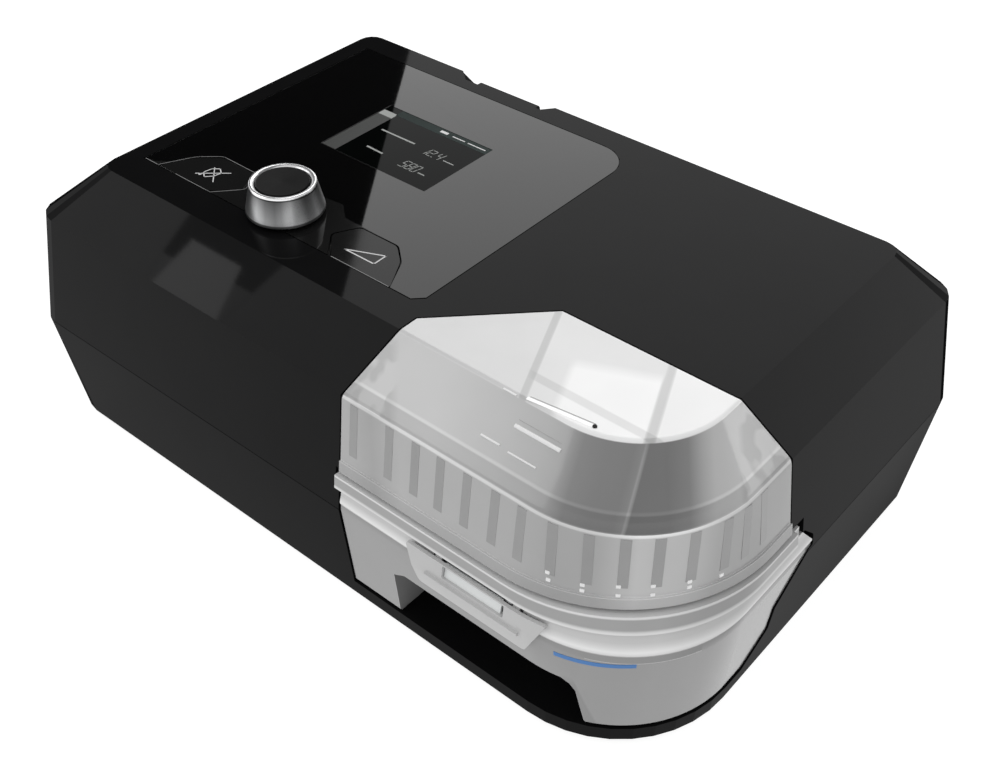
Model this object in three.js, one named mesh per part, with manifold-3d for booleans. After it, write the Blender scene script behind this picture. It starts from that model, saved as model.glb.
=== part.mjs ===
// Bedside breathing machine: casing with display deck, blower, heated water tank and hose port.
// Millimetres, +Z up, +X to the user's right, the front faces -Y. Origin: middle of the base, on the floor.
// Heights below are measured from the casing's own bottom, which the feet lift off the floor.
import * as THREE from 'three';
import { mergeVertices } from 'three/addons/utils/BufferGeometryUtils.js';
import Module from 'manifold-3d';

const wasm = await Module();
wasm.setup();

// Overall casing
const width = 290;
const bodyDepth = 184.9;
const bodyHeight = 106.1;
const latchProud = 2;
const portProud = 9.1;
const footProud = 3;

// Casing section: inset of each level from the widest one, the parting line
const seamHeight = 44.6;
const browHeight = 90;
const bottomInset = 4.2;
const browInset = 5.8;
const topInsetSide = 23;
const topInsetFront = 26.6;
const topInsetBack = 20;
const cornerBottom = 12.2;
const cornerSeam = 10.6;
const cornerTop = 6;
const tankCornerBottom = 45;
const tankCornerSeam = 45.5;
const tankCornerFlange = 52;
const tankCornerLid = 57;
const tankCornerBrow = 45.3;
const tankCornerTop = 31.2;

// Walls and clearances
const wall = 2.5;
const roof = 3.4;
const bayWall = 2;
const fitGap = 0.3;
const slideGap = 0.6;
const partingGap = 0.3;
const segments = { corner: 4, tankCorner: 10, round: 24, small: 10 };

// Water tank
const tankLeft = 20;
const shoulderX = 26;
const shoulderStep = 7.2;
const lidChamfer = 31.8;
const lidStepFromRight = 24;
const lidStep = 5.3;
const lidWall = 2.2;
const lidLip = 0.7;
const lidLipHeight = 1.8;
const lidBottom = 61;
const flangeTop = 59.2;
const flangeBottom = 54;
const flangeProud = 1.2;
const flangeSideProud = 1.5;
const flangeDepth = 76.5;
const tubInset = 0.5;
const tubWall = 2.2;
const tubBottom = 7;
const tubFloor = 2.4;
const tubDepth = 83;
const tubTop = 49.5;
const tubInnerFromRight = 9;
const tubSkinWidth = 20;
const sealWidth = 2.6;
const sealInset = 1.2;

// Finger recess under the tank's front
const gripLeft = 41;
const gripFromRight = 29.4;
const gripTop = 30;
const gripDepth = 25;

// Tank latch
const latchLeft = 50.5;
const latchRight = 105;
const latchFootLeft = 56;
const latchFootRight = 98.5;
const latchBottom = 38.5;
const latchThickness = 2;
const latchWindowLeft = 66;
const latchWindowRight = 90.3;
const latchWindowHeight = 4.6;
const latchPinRadius = 0.8;
const latchPinDrop = 2.9;
const latchPinBehind = 4.4;
const latchEar = 2.5;
const latchEarRadius = 1.8;

// Heater under the tank
const trayGap = 0.5;
const heaterWidth = 96;
const heaterDepth = 44;
const heaterThickness = 3.2;
const heaterMargin = 5;
const heaterElementThickness = 0.9;
const tubPlateThickness = 1;
const tubPlateRebate = 3;

// Deck: window, buttons, knob, screen
const windowMarginLeft = 8;
const windowMarginFront = 13.4;
const windowMarginBack = 10.9;
const windowMarginTank = 5.0;
const windowThickness = 1.5;
const windowCorner = 13;
const windowCut = 3.5;
const knobOffset = -2.5;
const knobFromWindowFront = 9;
const knobBaseRadius = 13.8;
const knobTopRadius = 11.5;
const knobHeight = 12.1;
const knobLift = 1.3;
const capRadius = 9.2;
const capThickness = 1.2;
const shaftRadius = 3;
const bushRadius = 4.5;
const encoderSize = 13;
const encoderHeight = 6.5;
const knobTravel = 0.8;
const screenWidth = 54.5;
const screenDepth = 36;
const screenFromWindowFront = 49;
const screenSunk = 0.9;
const screenLip = 4;
const buttonStemWidth = 8;
const buttonStemDepth = 5;
const buttonThickness = 1.3;
const buttonTravel = 0.6;
const switchSize = 6;

// Boards
const boardThickness = 1.6;
const displayBoardDrop = 12;
const displayBoardWidth = 112;
const displayBoardDepth = 87;
const mainBoardHeight = 10;
const mainBoardWidth = 128;
const mainBoardDepth = 120;
const mainBoardFromLeft = 20;
const mainBoardFromFront = 29;
const standoffRadius = 3.5;
const ribbonWidth = 22;
const ribbonThickness = 0.6;
const ribbonInset = 8;
const transformerWidth = 30;
const transformerDepth = 26;
const transformerHeight = 22;
const transformerYoke = 4;
const transformerFromLeft = 28;
const transformerFromBack = 34;
const capacitorRadius = 8;
const capacitorHeight = 28;
const capacitorFromTransformer = 40;
const capacitorPitch = 20;

// Rear hose port and its recess
const portFromLeft = 95.8;
const portFromTop = 35;
const portInset = 7;
const portRadius = 11;
const portBore = 9;
const collarWidth = 31;
const collarAbove = 30.8;
const collarBelow = 15.5;
const collarCorner = 3;
const collarLength = 8;
const recessDepth = 4.9;
const recessHalfTop = 24;
const recessHalfInner = 18.3;
const recessShift = 2.4;
const recessBelowPort = 19.5;
const ductRadius = 10;
const ductBore = 8;
const ductSeal = 2.5;
const ductRun = 57;

// Blower and intake
const blowerFromRight = 63;
const blowerFromBack = 55.9;
const blowerRadius = 34;
const blowerBottom = 60;
const blowerHeight = 24.3;
const blowerWall = 2;
const spoutWidth = 20;
const blowerInlet = 13;
const motorRadius = 17;
const motorClearance = 4.1;
const motorShaftRadius = 2;
const impellerRadius = 27;
const impellerHeight = 12;
const impellerHub = 8;
const bladeCount = 9;
const isolatorRadius = 6;
const isolatorSpread = 25;
const intakeWidth = 68;
const intakeFromRight = 27;
const intakeDepth = 76;
const intakeTop = 53;
const filterWidth = 46;
const filterFromRight = 39;
const filterBottom = 12;
const filterTop = 36;
const filterThickness = 4;
const filterCoverLip = 2;
const filterCoverPlate = 1.8;
const filterSlots = 5;

// Tank air seals
const feedSealFromRight = 39;
const returnSealFromRight = 75;
const returnSealFromTop = 26.1;

// Rear power inlet and side card slot
const inletFromLeft = 39;
const inletWidth = 24;
const inletHeight = 20;
const inletLength = 18;
const inletCavityWidth = 20;
const inletCavityHeight = 9;
const inletPinRadius = 1.2;
const inletPinSpread = 4.3;
const cardFromFront = 103;
const cardWidth = 24;
const cardThickness = 2.1;
const cardLength = 30;
const cardProud = 1.2;
const readerLength = 27;
const readerHeight = 4.4;

// Feet and case screws
const footInset = 30;
const footRadius = 8;
const footRecess = 1;
const screwInset = 17.5;
const screwHeadRadius = 3;
const screwShankRadius = 1.4;
const screwLedge = 34;
const screwHeadHeight = 2.2;
const screwLength = 22;
const bossRadius = 4.8;

// Derived frame
const overallDepth = latchProud + bodyDepth + portProud;
const front = -overallDepth / 2 + latchProud;
const back = front + bodyDepth;
const left = -width / 2;
const right = width / 2;
const far = width;
const topFront = front + topInsetFront;
const shoulderFront = topFront + shoulderStep;
const topBack = back - topInsetBack;
const lidBack = shoulderFront + lidChamfer;
const flangeBack = front + flangeDepth;
const tubBack = front + tubDepth;
const trayTop = tubBottom - trayGap;
const roofUnder = bodyHeight - roof;
const lidStepX = right - lidStepFromRight;
const tubInnerRight = right - tubInnerFromRight;
const gripRight = right - gripFromRight;
const inletX = left + inletFromLeft;
const portX = left + portFromLeft;
const portHeight = bodyHeight - portFromTop;
const blowerX = right - blowerFromRight;
const intakeRight = right - intakeFromRight;
const intakeLeft = intakeRight - intakeWidth;
const filterRight = right - filterFromRight;
const filterLeft = filterRight - filterWidth;
const feedSealX = right - feedSealFromRight;
const feedSealHeight = blowerBottom + blowerHeight - ductRadius - fitGap;
const returnSealX = right - returnSealFromRight;
const returnSealHeight = bodyHeight - returnSealFromTop;

const finish = {
  casing: { color: 0x1b1b1c, roughness: 0.42, metalness: 0 },
  gloss: { color: 0x050506, roughness: 0.06, metalness: 0 },
  black: { color: 0x121213, roughness: 0.5, metalness: 0 },
  screen: { color: 0x0c1a1c, roughness: 0.1, metalness: 0 },
  aluminium: { color: 0xb9bbbd, roughness: 0.28, metalness: 1 },
  steel: { color: 0x9da0a3, roughness: 0.32, metalness: 1 },
  clear: { color: 0xc4c6c7, roughness: 0.12, metalness: 0 },
  tub: { color: 0xa6a8a9, roughness: 0.22, metalness: 0 },
  rubber: { color: 0x202122, roughness: 0.8, metalness: 0 },
  silicone: { color: 0x6f7273, roughness: 0.7, metalness: 0 },
  board: { color: 0x1f5a37, roughness: 0.5, metalness: 0 },
  foam: { color: 0xd9dadb, roughness: 0.95, metalness: 0 },
  white: { color: 0xe4e5e4, roughness: 0.5, metalness: 0 },
  card: { color: 0x27498f, roughness: 0.4, metalness: 0 },
};

// Solids from three.js shapes

function toSolid(geometry) {
  geometry.deleteAttribute('normal');
  geometry.deleteAttribute('uv');
  const merged = mergeVertices(geometry, 1e-4);
  const corners = merged.index.array;
  const triVerts = [];
  for (let i = 0; i < corners.length; i += 3) {
    const [a, b, c] = [corners[i], corners[i + 1], corners[i + 2]];
    if (a !== b && b !== c && c !== a) triVerts.push(a, b, c);
  }
  return new wasm.Manifold(new wasm.Mesh({
    numProp: 3,
    vertProperties: new Float32Array(merged.attributes.position.array),
    triVerts: new Uint32Array(triVerts),
  }));
}

function toGeometry(solid) {
  const mesh = solid.getMesh();
  const geometry = new THREE.BufferGeometry();
  geometry.setAttribute('position', new THREE.BufferAttribute(mesh.vertProperties, 3));
  geometry.setIndex(new THREE.BufferAttribute(mesh.triVerts, 1));
  geometry.computeVertexNormals();
  return geometry;
}

function block(x0, x1, y0, y1, z0, z1) {
  const geometry = new THREE.BoxGeometry(x1 - x0, y1 - y0, z1 - z0);
  return toSolid(geometry.translate((x0 + x1) / 2, (y0 + y1) / 2, (z0 + z1) / 2));
}

function rodZ(x, y, radius, z0, z1, sides = segments.round) {
  const geometry = new THREE.CylinderGeometry(radius, radius, z1 - z0, sides);
  return toSolid(geometry.rotateX(Math.PI / 2).translate(x, y, (z0 + z1) / 2));
}

function rodY(x, z, radius, y0, y1, sides = segments.round) {
  const geometry = new THREE.CylinderGeometry(radius, radius, y1 - y0, sides);
  return toSolid(geometry.translate(x, (y0 + y1) / 2, z));
}

function rodX(y, z, radius, x0, x1, sides = segments.small) {
  const geometry = new THREE.CylinderGeometry(radius, radius, x1 - x0, sides);
  return toSolid(geometry.rotateZ(Math.PI / 2).translate((x0 + x1) / 2, y, z));
}

function turned(profile, x, y, sides = segments.round) {
  const geometry = new THREE.LatheGeometry(profile.map(([r, z]) => new THREE.Vector2(r, z)), sides);
  return toSolid(geometry.rotateX(Math.PI / 2).translate(x, y, 0));
}

// Turned about an axis along Y, its profile given as radius and distance
function turnedY(profile, x, y, z, sides = segments.round) {
  const geometry = new THREE.LatheGeometry(profile.map(([r, along]) => new THREE.Vector2(r, along)), sides);
  return toSolid(geometry.translate(x, y, z));
}

function flatShape(points) {
  return new THREE.Shape(points.map(([u, v]) => new THREE.Vector2(u, v)));
}

function prismZ(points, z0, z1) {
  const geometry = new THREE.ExtrudeGeometry(flatShape(points), { depth: z1 - z0, bevelEnabled: false });
  return toSolid(geometry.translate(0, 0, z0));
}

// Outline in Y and Z, drawn out along X
function prismX(points, x0, x1) {
  const geometry = new THREE.ExtrudeGeometry(flatShape(points), { depth: x1 - x0, bevelEnabled: false });
  const turn = new THREE.Matrix4().makeBasis(
    new THREE.Vector3(0, 1, 0), new THREE.Vector3(0, 0, 1), new THREE.Vector3(1, 0, 0));
  return toSolid(geometry.applyMatrix4(turn).translate(x0, 0, 0));
}

// Outline in X and Z, drawn out along Y
function prismY(points, y0, y1) {
  const geometry = new THREE.ExtrudeGeometry(flatShape(points), { depth: y1 - y0, bevelEnabled: false });
  return toSolid(geometry.rotateX(Math.PI / 2).translate(0, y1, 0));
}

// Stacked closed outlines with the same number of points, bottom first
function loft(rings) {
  const count = rings[0].length;
  const last = (rings.length - 1) * count;
  const index = [];
  for (let level = 0; level < rings.length - 1; level += 1) {
    for (let i = 0; i < count; i += 1) {
      const a = level * count + i;
      const b = level * count + (i + 1) % count;
      index.push(a, b, b + count, a, b + count, a + count);
    }
  }
  for (let i = 1; i < count - 1; i += 1) {
    index.push(0, i + 1, i);
    index.push(last, last + i, last + i + 1);
  }
  const geometry = new THREE.BufferGeometry();
  geometry.setAttribute('position', new THREE.Float32BufferAttribute(rings.flat(2), 3));
  geometry.setIndex(index);
  return toSolid(geometry);
}

function unite(solids) {
  return solids.reduce((sum, next) => sum.add(next));
}

// Casing envelope: a loft of rounded outlines, widest at the parting line

function level(z, [side, nearer, further], corner, tank) {
  return { z, side, front: nearer, back: further, corner, tank };
}

function wallLevel(z, tank) {
  const inset = browInset * (z - seamHeight) / (browHeight - seamHeight);
  return level(z, [inset, inset, inset], cornerSeam, tank);
}

const levels = [
  level(0, [bottomInset, bottomInset, bottomInset], cornerBottom, tankCornerBottom),
  wallLevel(seamHeight, tankCornerSeam),
  wallLevel(flangeBottom, tankCornerFlange),
  wallLevel(lidBottom, tankCornerLid),
  wallLevel(browHeight, tankCornerBrow),
  level(bodyHeight, [topInsetSide, topInsetFront, topInsetBack], cornerTop, tankCornerTop),
];

function levelAt(z) {
  const upper = Math.max(1, levels.findIndex((entry) => entry.z >= z));
  const next = z > bodyHeight ? levels.length - 1 : upper;
  const low = levels[next - 1];
  const high = levels[next];
  const t = (z - low.z) / (high.z - low.z);
  const mix = (key) => low[key] + (high[key] - low[key]) * t;
  return level(z, [mix('side'), mix('front'), mix('back')], mix('corner'), mix('tank'));
}

function arc(x, y, radius, startTurns, count) {
  return Array.from({ length: count + 1 }, (_, i) => {
    const angle = (startTurns + i / count / 4) * 2 * Math.PI;
    return [x + radius * Math.cos(angle), y + radius * Math.sin(angle)];
  });
}

// drop lowers the outline, so a cavity keeps its wall under the sloping shoulders
function outline(z, inset = 0, drop = 0) {
  const at = levelAt(z + drop);
  const x = width / 2 - at.side - inset;
  const y0 = front + at.front + inset;
  const y1 = back - at.back - inset;
  const r = Math.max(at.corner - inset, 1);
  const tank = Math.max(at.tank - inset, 1);
  return [
    ...arc(-x + r, y0 + r, r, 0.5, segments.corner),
    ...arc(x - tank, y0 + tank, tank, 0.75, segments.tankCorner),
    ...arc(x - r, y1 - r, r, 0, segments.corner),
    ...arc(-x + r, y1 - r, r, 0.25, segments.corner),
  ].map(([px, py]) => [px, py, z]);
}

function envelope(z0, z1, inset = 0, drop = 0) {
  const breaks = levels.map((entry) => entry.z - drop).filter((z) => z > z0 + 0.01 && z < z1 - 0.01);
  return loft([z0, ...breaks, z1].map((z) => outline(z, inset, drop)));
}

function wallBackAt(z) {
  return back - levelAt(z).back;
}

// Tank plan: its left side runs in at 45 degrees from the shoulder; its rear is cut by each part's own line

const tankSide = [
  [tankLeft, -far],
  [tankLeft, front + browInset],
  [shoulderX, topFront],
  [shoulderX, shoulderFront],
  [shoulderX + far, shoulderFront + far],
];
const lidRear = [
  [-far, lidBack],
  [lidStepX, lidBack],
  [right - tubInset, lidBack + lidStep],
  [far * 2, lidBack + lidStep],
];

// Moves an open line sideways, to its left
function movedLine(points, distance) {
  const normals = points.slice(1).map(([x, y], i) => {
    const [dx, dy] = [x - points[i][0], y - points[i][1]];
    const length = Math.hypot(dx, dy);
    return [-dy / length, dx / length];
  });
  return points.map(([x, y], i) => {
    const before = normals[Math.max(i - 1, 0)];
    const after = normals[Math.min(i, normals.length - 1)];
    const bend = 1 + before[0] * after[0] + before[1] * after[1];
    return [
      x + (before[0] + after[0]) * distance / bend,
      y + (before[1] + after[1]) * distance / bend,
    ];
  });
}

function sidePlan(grow, z0 = -far, z1 = far) {
  const beyond = [[far * 2, shoulderFront + far], [far * 2, -far]];
  return prismZ([...movedLine(tankSide, grow), ...beyond].reverse(), z0, z1);
}

function lidPlan(grow, z0, z1) {
  return prismZ([...movedLine(lidRear, grow), [far * 2, -far], [-far, -far]].reverse(), z0, z1);
}

function upTo(rear, z0, z1) {
  return block(-far, far * 2, -far, rear, z0, z1);
}

// Side view of the tub's outer skin, in Y and Z
const tubSide = [
  [-far, tubBottom],
  [front + 57, tubBottom],
  [front + 69, tubBottom + 10],
  [front + 69, tubBottom + 21],
  [front + 82, tubBottom + 38.7],
  [front + 84.6, tubBottom + 39.2],
  [front + 84.6, tubTop],
  [front + 79, flangeBottom + 1],
  [-far, flangeBottom + 1],
];

function tubSkin(shiftY, shiftZ) {
  return prismX(tubSide.map(([y, z]) => [y + shiftY, z + shiftZ]), tubInnerRight - tubSkinWidth, far);
}

// Everything the tank sweeps, grown by a clearance and cut from both casing halves
function tankSpace(grow, low) {
  const inner = upTo(tubBack + grow, low, tubTop + grow)
    .intersect(block(-far, tubInnerRight + grow, -far, far, -far, far));
  const skin = unite([tubSkin(grow * 1.3, 0), tubSkin(grow, grow), tubSkin(grow, -grow)])
    .intersect(block(-far, far, -far, far, low, far));
  const neck = upTo(flangeBack + grow, tubTop, flangeBottom + 1);
  const lid = lidPlan(grow, flangeBottom, bodyHeight + far);
  const flange = sidePlan(flangeSideProud + grow)
    .intersect(upTo(flangeBack + flangeSideProud + grow, flangeBottom - grow, lidBottom + grow));
  return unite([inner, skin, neck, lid]).intersect(sidePlan(grow)).add(flange);
}

const bay = tankSpace(slideGap, trayTop);
const bayShell = tankSpace(slideGap + bayWall, -far);

// Pieces

const part = new THREE.Group();
const casing = new THREE.Group();
casing.position.z = footProud;
part.add(casing);

function addPiece(name, solid, look) {
  const mesh = new THREE.Mesh(toGeometry(solid), new THREE.MeshStandardMaterial(look));
  mesh.name = name;
  casing.add(mesh);
}

// Rear recess round the hose port
const recessWallY = topBack - recessDepth;
const recessCentre = portX + recessShift;
const recessFloor = portHeight - recessBelowPort;
const recess = prismZ([
  [recessCentre - recessHalfInner, recessWallY],
  [recessCentre + recessHalfInner + 1, recessWallY],
  [recessCentre + recessHalfTop, topBack + 1],
  [recessCentre + recessHalfTop, far],
  [recessCentre - recessHalfTop - 1, far],
  [recessCentre - recessHalfTop - 1, topBack + 1],
], recessFloor, far);
const recessShell = block(
  recessCentre - recessHalfTop - 1 - wall, recessCentre + recessHalfTop + wall,
  recessWallY - wall, far, recessFloor - wall, far);

// Deck layout
const windowLeft = left + topInsetSide + windowMarginLeft;
const windowRight = shoulderX - windowMarginTank;
const windowFront = topFront + windowMarginFront;
const windowBack = topBack - windowMarginBack;
const windowUnder = bodyHeight - windowThickness;
const knobX = (windowLeft + windowRight) / 2 + knobOffset;
const knobY = windowFront + knobFromWindowFront;
const displayBoardTop = bodyHeight - displayBoardDrop;
const screenFront = windowFront + screenFromWindowFront;

// Half outline of a button, measured from the knob's line and the window's front edge
const buttonOutline = [[30.7, -1], [57.7, -1], [50.7, 12.2], [43.6, 18.3], [26.5, 18.3], [21.8, 9.3]];
const buttonStem = [41, 9.5];

function buttonPlan(side, grow) {
  const share = 1 / buttonOutline.length;
  const centre = buttonOutline.reduce((sum, [x, y]) => [sum[0] + x * share, sum[1] + y * share], [0, 0]);
  const points = buttonOutline.map(([x, y]) => {
    const reach = Math.hypot(x - centre[0], y - centre[1]);
    const k = (reach + grow) / reach;
    const px = knobX + side * (centre[0] + (x - centre[0]) * k);
    return [px, windowFront + centre[1] + (y - centre[1]) * k];
  });
  return side > 0 ? points : points.reverse();
}

function windowPlan(grow) {
  const r = windowCorner + grow;
  const [x0, x1] = [windowLeft - grow, windowRight + grow];
  const [y0, y1] = [windowFront - grow, windowBack + grow];
  const cutCorner = [[x1 - windowCut, y0], [x1, y0 + windowCut]];
  return [[x0, y0], ...cutCorner, ...arc(x1 - r, y1 - r, r, 0, segments.corner), [x0, y1]];
}

// Case screws near the corners, with the feet further in
const screwPlaces = [
  [left + screwInset, front + screwInset - 1.5],
  [left + screwInset, back - screwInset],
  [right - screwInset, back - screwInset],
  [tankLeft - screwInset + 5, front + screwInset - 4],
];
const footPlaces = [
  [left + footInset, front + footInset - 3],
  [left + footInset, back - footInset],
  [right - footInset, back - footInset],
  [right - footInset - 8, front + footInset],
];

function addCasings() {
  const lowTop = seamHeight - partingGap / 2;
  const highBottom = seamHeight + partingGap / 2;
  const cavity = envelope(wall, seamHeight + 5, wall).subtract(bayShell);
  const posts = screwPlaces.map(([x, y]) => rodZ(x, y, bossRadius, wall / 2, lowTop, segments.small));
  const boardPosts = mainBoardPosts().map(([x, y]) => {
    return rodZ(x, y, standoffRadius, wall / 2, mainBoardHeight - fitGap, segments.small);
  });
  const lowerCuts = [
    ...screwPlaces.map(([x, y]) => rodZ(x, y, screwHeadRadius + fitGap, -1, screwLedge, segments.small)),
    ...screwPlaces.map(([x, y]) => rodZ(x, y, screwShankRadius + fitGap, 0, far, segments.small)),
    ...footPlaces.map(([x, y]) => rodZ(x, y, footRadius + fitGap, -1, footRecess, segments.small * 2)),
    heaterBlock(fitGap, far),
    block(inletX - inletWidth / 2 - fitGap, inletX + inletWidth / 2 + fitGap, back - inletLength, far,
      inletLow - fitGap, inletLow + inletHeight + fitGap),
    block(filterLeft, filterRight, back - intakeDepth / 2, far, filterBottom, filterTop),
    block(-far, left + wall * 4, cardFront - fitGap, cardFront + cardWidth + fitGap,
      cardLow - fitGap, cardLow + cardThickness + fitGap),
  ];
  const lower = envelope(0, lowTop).subtract(cavity).add(unite([...posts, ...boardPosts]))
    .subtract(bay).subtract(unite(lowerCuts));

  const upperCavity = envelope(seamHeight - 5, roofUnder, wall, wall)
    .subtract(bayShell).subtract(recessShell);
  const roofPosts = screwPlaces.map(([x, y]) => {
    return rodZ(x, y, bossRadius, highBottom, bodyHeight, segments.small);
  });
  const displayPosts = displayBoardPosts().map(([x, y]) => {
    return rodZ(x, y, standoffRadius, displayBoardTop + fitGap, roofUnder + roof / 4, segments.small);
  });
  const inside = envelope(highBottom, bodyHeight - 1, 1, 1);
  const upperCuts = [
    ...screwPlaces.map(([x, y]) => {
      const end = screwLedge + screwLength + 1;
      return rodZ(x, y, screwShankRadius + fitGap, seamHeight, end, segments.small);
    }),
    prismZ(windowPlan(fitGap), windowUnder - fitGap, far),
    block(knobX - screenWidth / 2 - fitGap, knobX + screenWidth / 2 + fitGap,
      screenFront - fitGap, screenFront + screenDepth + fitGap, roofUnder - 1, far),
    rodZ(knobX, knobY, bushRadius + fitGap, roofUnder - 1, far),
    ...[-1, 1].map((side) => stemBlock(side, fitGap, roofUnder - 1, far)),
    rodY(portX, portHeight, portRadius + fitGap, recessWallY - wall - 1, far),
    rodY(feedSealX, feedSealHeight, ductRadius + fitGap, lidBack, lidBack + bayWall * 3),
    rodY(returnSealX, returnSealHeight, ductRadius + fitGap, lidBack, lidBack + bayWall * 3),
  ];
  const upper = envelope(highBottom, bodyHeight).subtract(upperCavity)
    .add(unite([...roofPosts, ...displayPosts]).intersect(inside))
    .subtract(bay).subtract(recess).subtract(unite(upperCuts));
  addPiece('upper_housing', upper, finish.casing);
  addPiece('lower_housing', lower, finish.casing);
}

// Boards

const mainBoardLeft = left + mainBoardFromLeft;
const mainBoardFront = front + mainBoardFromFront;
const mainBoardTop = mainBoardHeight + boardThickness;
const displayBoardLeft = knobX - displayBoardWidth / 2;
const displayBoardFront = windowFront + 1;

function cornersOf(x0, y0, w, d, inset) {
  return [
    [x0 + inset, y0 + inset], [x0 + w - inset, y0 + inset],
    [x0 + w - inset, y0 + d - inset], [x0 + inset, y0 + d - inset],
  ];
}

function mainBoardPosts() {
  return cornersOf(mainBoardLeft, mainBoardFront, mainBoardWidth, mainBoardDepth, 5);
}

function displayBoardPosts() {
  return cornersOf(displayBoardLeft, displayBoardFront, displayBoardWidth, displayBoardDepth, 4);
}

function addBoards() {
  addPiece('main_board', block(mainBoardLeft, mainBoardLeft + mainBoardWidth,
    mainBoardFront, mainBoardFront + mainBoardDepth, mainBoardHeight, mainBoardTop), finish.board);
  const displayBoard = block(displayBoardLeft, displayBoardLeft + displayBoardWidth,
    displayBoardFront, displayBoardFront + displayBoardDepth,
    displayBoardTop - boardThickness, displayBoardTop);
  addPiece('display_board', displayBoard, finish.board);
  const ribbonY = displayBoardFront + ribbonInset;
  addPiece('display_ribbon', block(knobX - ribbonWidth / 2, knobX + ribbonWidth / 2,
    ribbonY, ribbonY + ribbonThickness, mainBoardTop + fitGap, displayBoardTop - boardThickness - fitGap),
  finish.white);
  const partLow = mainBoardTop + fitGap;
  const coreX = mainBoardLeft + transformerFromLeft;
  const coreY = mainBoardFront + mainBoardDepth - transformerFromBack;
  const coreRight = coreX + transformerWidth;
  const coreBack = coreY + transformerDepth;
  const coreTop = partLow + transformerHeight;
  const bobbin = block(coreX, coreRight, coreY, coreBack, partLow, coreTop);
  const yoke = block(coreX + transformerYoke * 2, coreRight - transformerYoke * 2,
    coreY - transformerYoke, coreBack + transformerYoke, partLow, coreTop - transformerYoke);
  addPiece('power_transformer', bobbin.add(yoke), finish.black);
  [0, 1].forEach((i) => {
    const x = coreRight + capacitorFromTransformer + i * capacitorPitch;
    const can = rodZ(x, (coreY + coreBack) / 2, capacitorRadius, partLow, partLow + capacitorHeight, 16);
    addPiece(`filter_capacitor_${i + 1}`, can, finish.steel);
  });
}

// Rear power inlet, with two pins in its cavity

const inletLow = mainBoardTop + fitGap;

function addPowerInlet() {
  const middle = inletLow + inletHeight / 2;
  const rear = wallBackAt(middle) - 0.2;
  const body = block(inletX - inletWidth / 2, inletX + inletWidth / 2, rear - inletLength, rear,
    inletLow, inletLow + inletHeight);
  const cavity = block(inletX - inletCavityWidth / 2, inletX + inletCavityWidth / 2,
    rear - inletLength + wall, far, middle - inletCavityHeight / 2, middle + inletCavityHeight / 2);
  const pins = [-1, 1].map((side) => {
    return rodY(inletX + side * inletPinSpread, middle, inletPinRadius, rear - inletLength + 1, rear - 2,
      segments.small);
  });
  addPiece('power_inlet', body.subtract(cavity).add(unite(pins)), finish.black);
}

// Memory card and its reader on the left side

const cardFront = front + cardFromFront;
const cardLow = mainBoardTop + fitGap + 1;

function addCard() {
  const outside = left + levelAt(cardLow).side - cardProud;
  addPiece('memory_card', block(outside, outside + cardLength, cardFront, cardFront + cardWidth,
    cardLow, cardLow + cardThickness), finish.card);
  const readerLeft = left + levelAt(0).side + wall + 1;
  const housing = block(readerLeft, readerLeft + readerLength, cardFront - 2, cardFront + cardWidth + 2,
    mainBoardTop + fitGap, mainBoardTop + fitGap + readerHeight);
  const slot = block(-far, outside + cardLength + fitGap, cardFront - fitGap, cardFront + cardWidth + fitGap,
    cardLow - fitGap, cardLow + cardThickness + fitGap);
  addPiece('card_reader', housing.subtract(slot), finish.steel);
}

// Deck: gloss window, screen, buttons, knob

function stemBlock(side, grow, z0, z1) {
  const x = knobX + side * buttonStem[0];
  const y = windowFront + buttonStem[1];
  return block(x - buttonStemWidth / 2 - grow, x + buttonStemWidth / 2 + grow,
    y - buttonStemDepth / 2 - grow, y + buttonStemDepth / 2 + grow, z0, z1);
}

function addDeck() {
  const glass = prismZ(windowPlan(0), windowUnder, bodyHeight);
  const holes = [
    ...[-1, 1].map((side) => prismZ(buttonPlan(side, fitGap * 1.2), 0, far)),
    rodZ(knobX, knobY, knobBaseRadius - 2, 0, far),
    block(knobX - screenWidth / 2 + screenLip / 2, knobX + screenWidth / 2 - screenLip / 2,
      screenFront + screenLip / 2, screenFront + screenDepth - screenLip / 2, 0, far),
  ];
  addPiece('display_window', glass.subtract(unite(holes)), finish.gloss);

  const lcdFrame = block(knobX - screenWidth / 2, knobX + screenWidth / 2, screenFront,
    screenFront + screenDepth, displayBoardTop + fitGap, windowUnder - fitGap);
  const lcdFace = block(knobX - screenWidth / 2 + screenLip / 2 + fitGap,
    knobX + screenWidth / 2 - screenLip / 2 - fitGap, screenFront + screenLip / 2 + fitGap,
    screenFront + screenDepth - screenLip / 2 - fitGap, windowUnder - 1, bodyHeight - screenSunk);
  addPiece('lcd_module', lcdFrame.add(lcdFace), finish.screen);

  const switchTop = roofUnder - buttonTravel - fitGap;
  [['mute', -1], ['ramp', 1]].forEach(([name, side]) => {
    const capLow = bodyHeight - buttonThickness + buttonTravel;
    const cap = prismZ(buttonPlan(side, -fitGap * 0.2), capLow, bodyHeight)
      .intersect(block(-far, far, windowFront, far, 0, far));
    const stem = stemBlock(side, 0, switchTop + buttonTravel, bodyHeight - 0.2);
    addPiece(`${name}_button`, cap.add(stem), finish.gloss);
    const x = knobX + side * buttonStem[0];
    const y = windowFront + buttonStem[1];
    const base = block(x - switchSize / 2, x + switchSize / 2, y - switchSize / 2, y + switchSize / 2,
      displayBoardTop + fitGap, switchTop - 2);
    const plunger = rodZ(x, y, 1.7, switchTop - 3, switchTop - fitGap / 3, segments.small);
    addPiece(`${name}_switch`, base.add(plunger), finish.black);
  });
}

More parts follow.
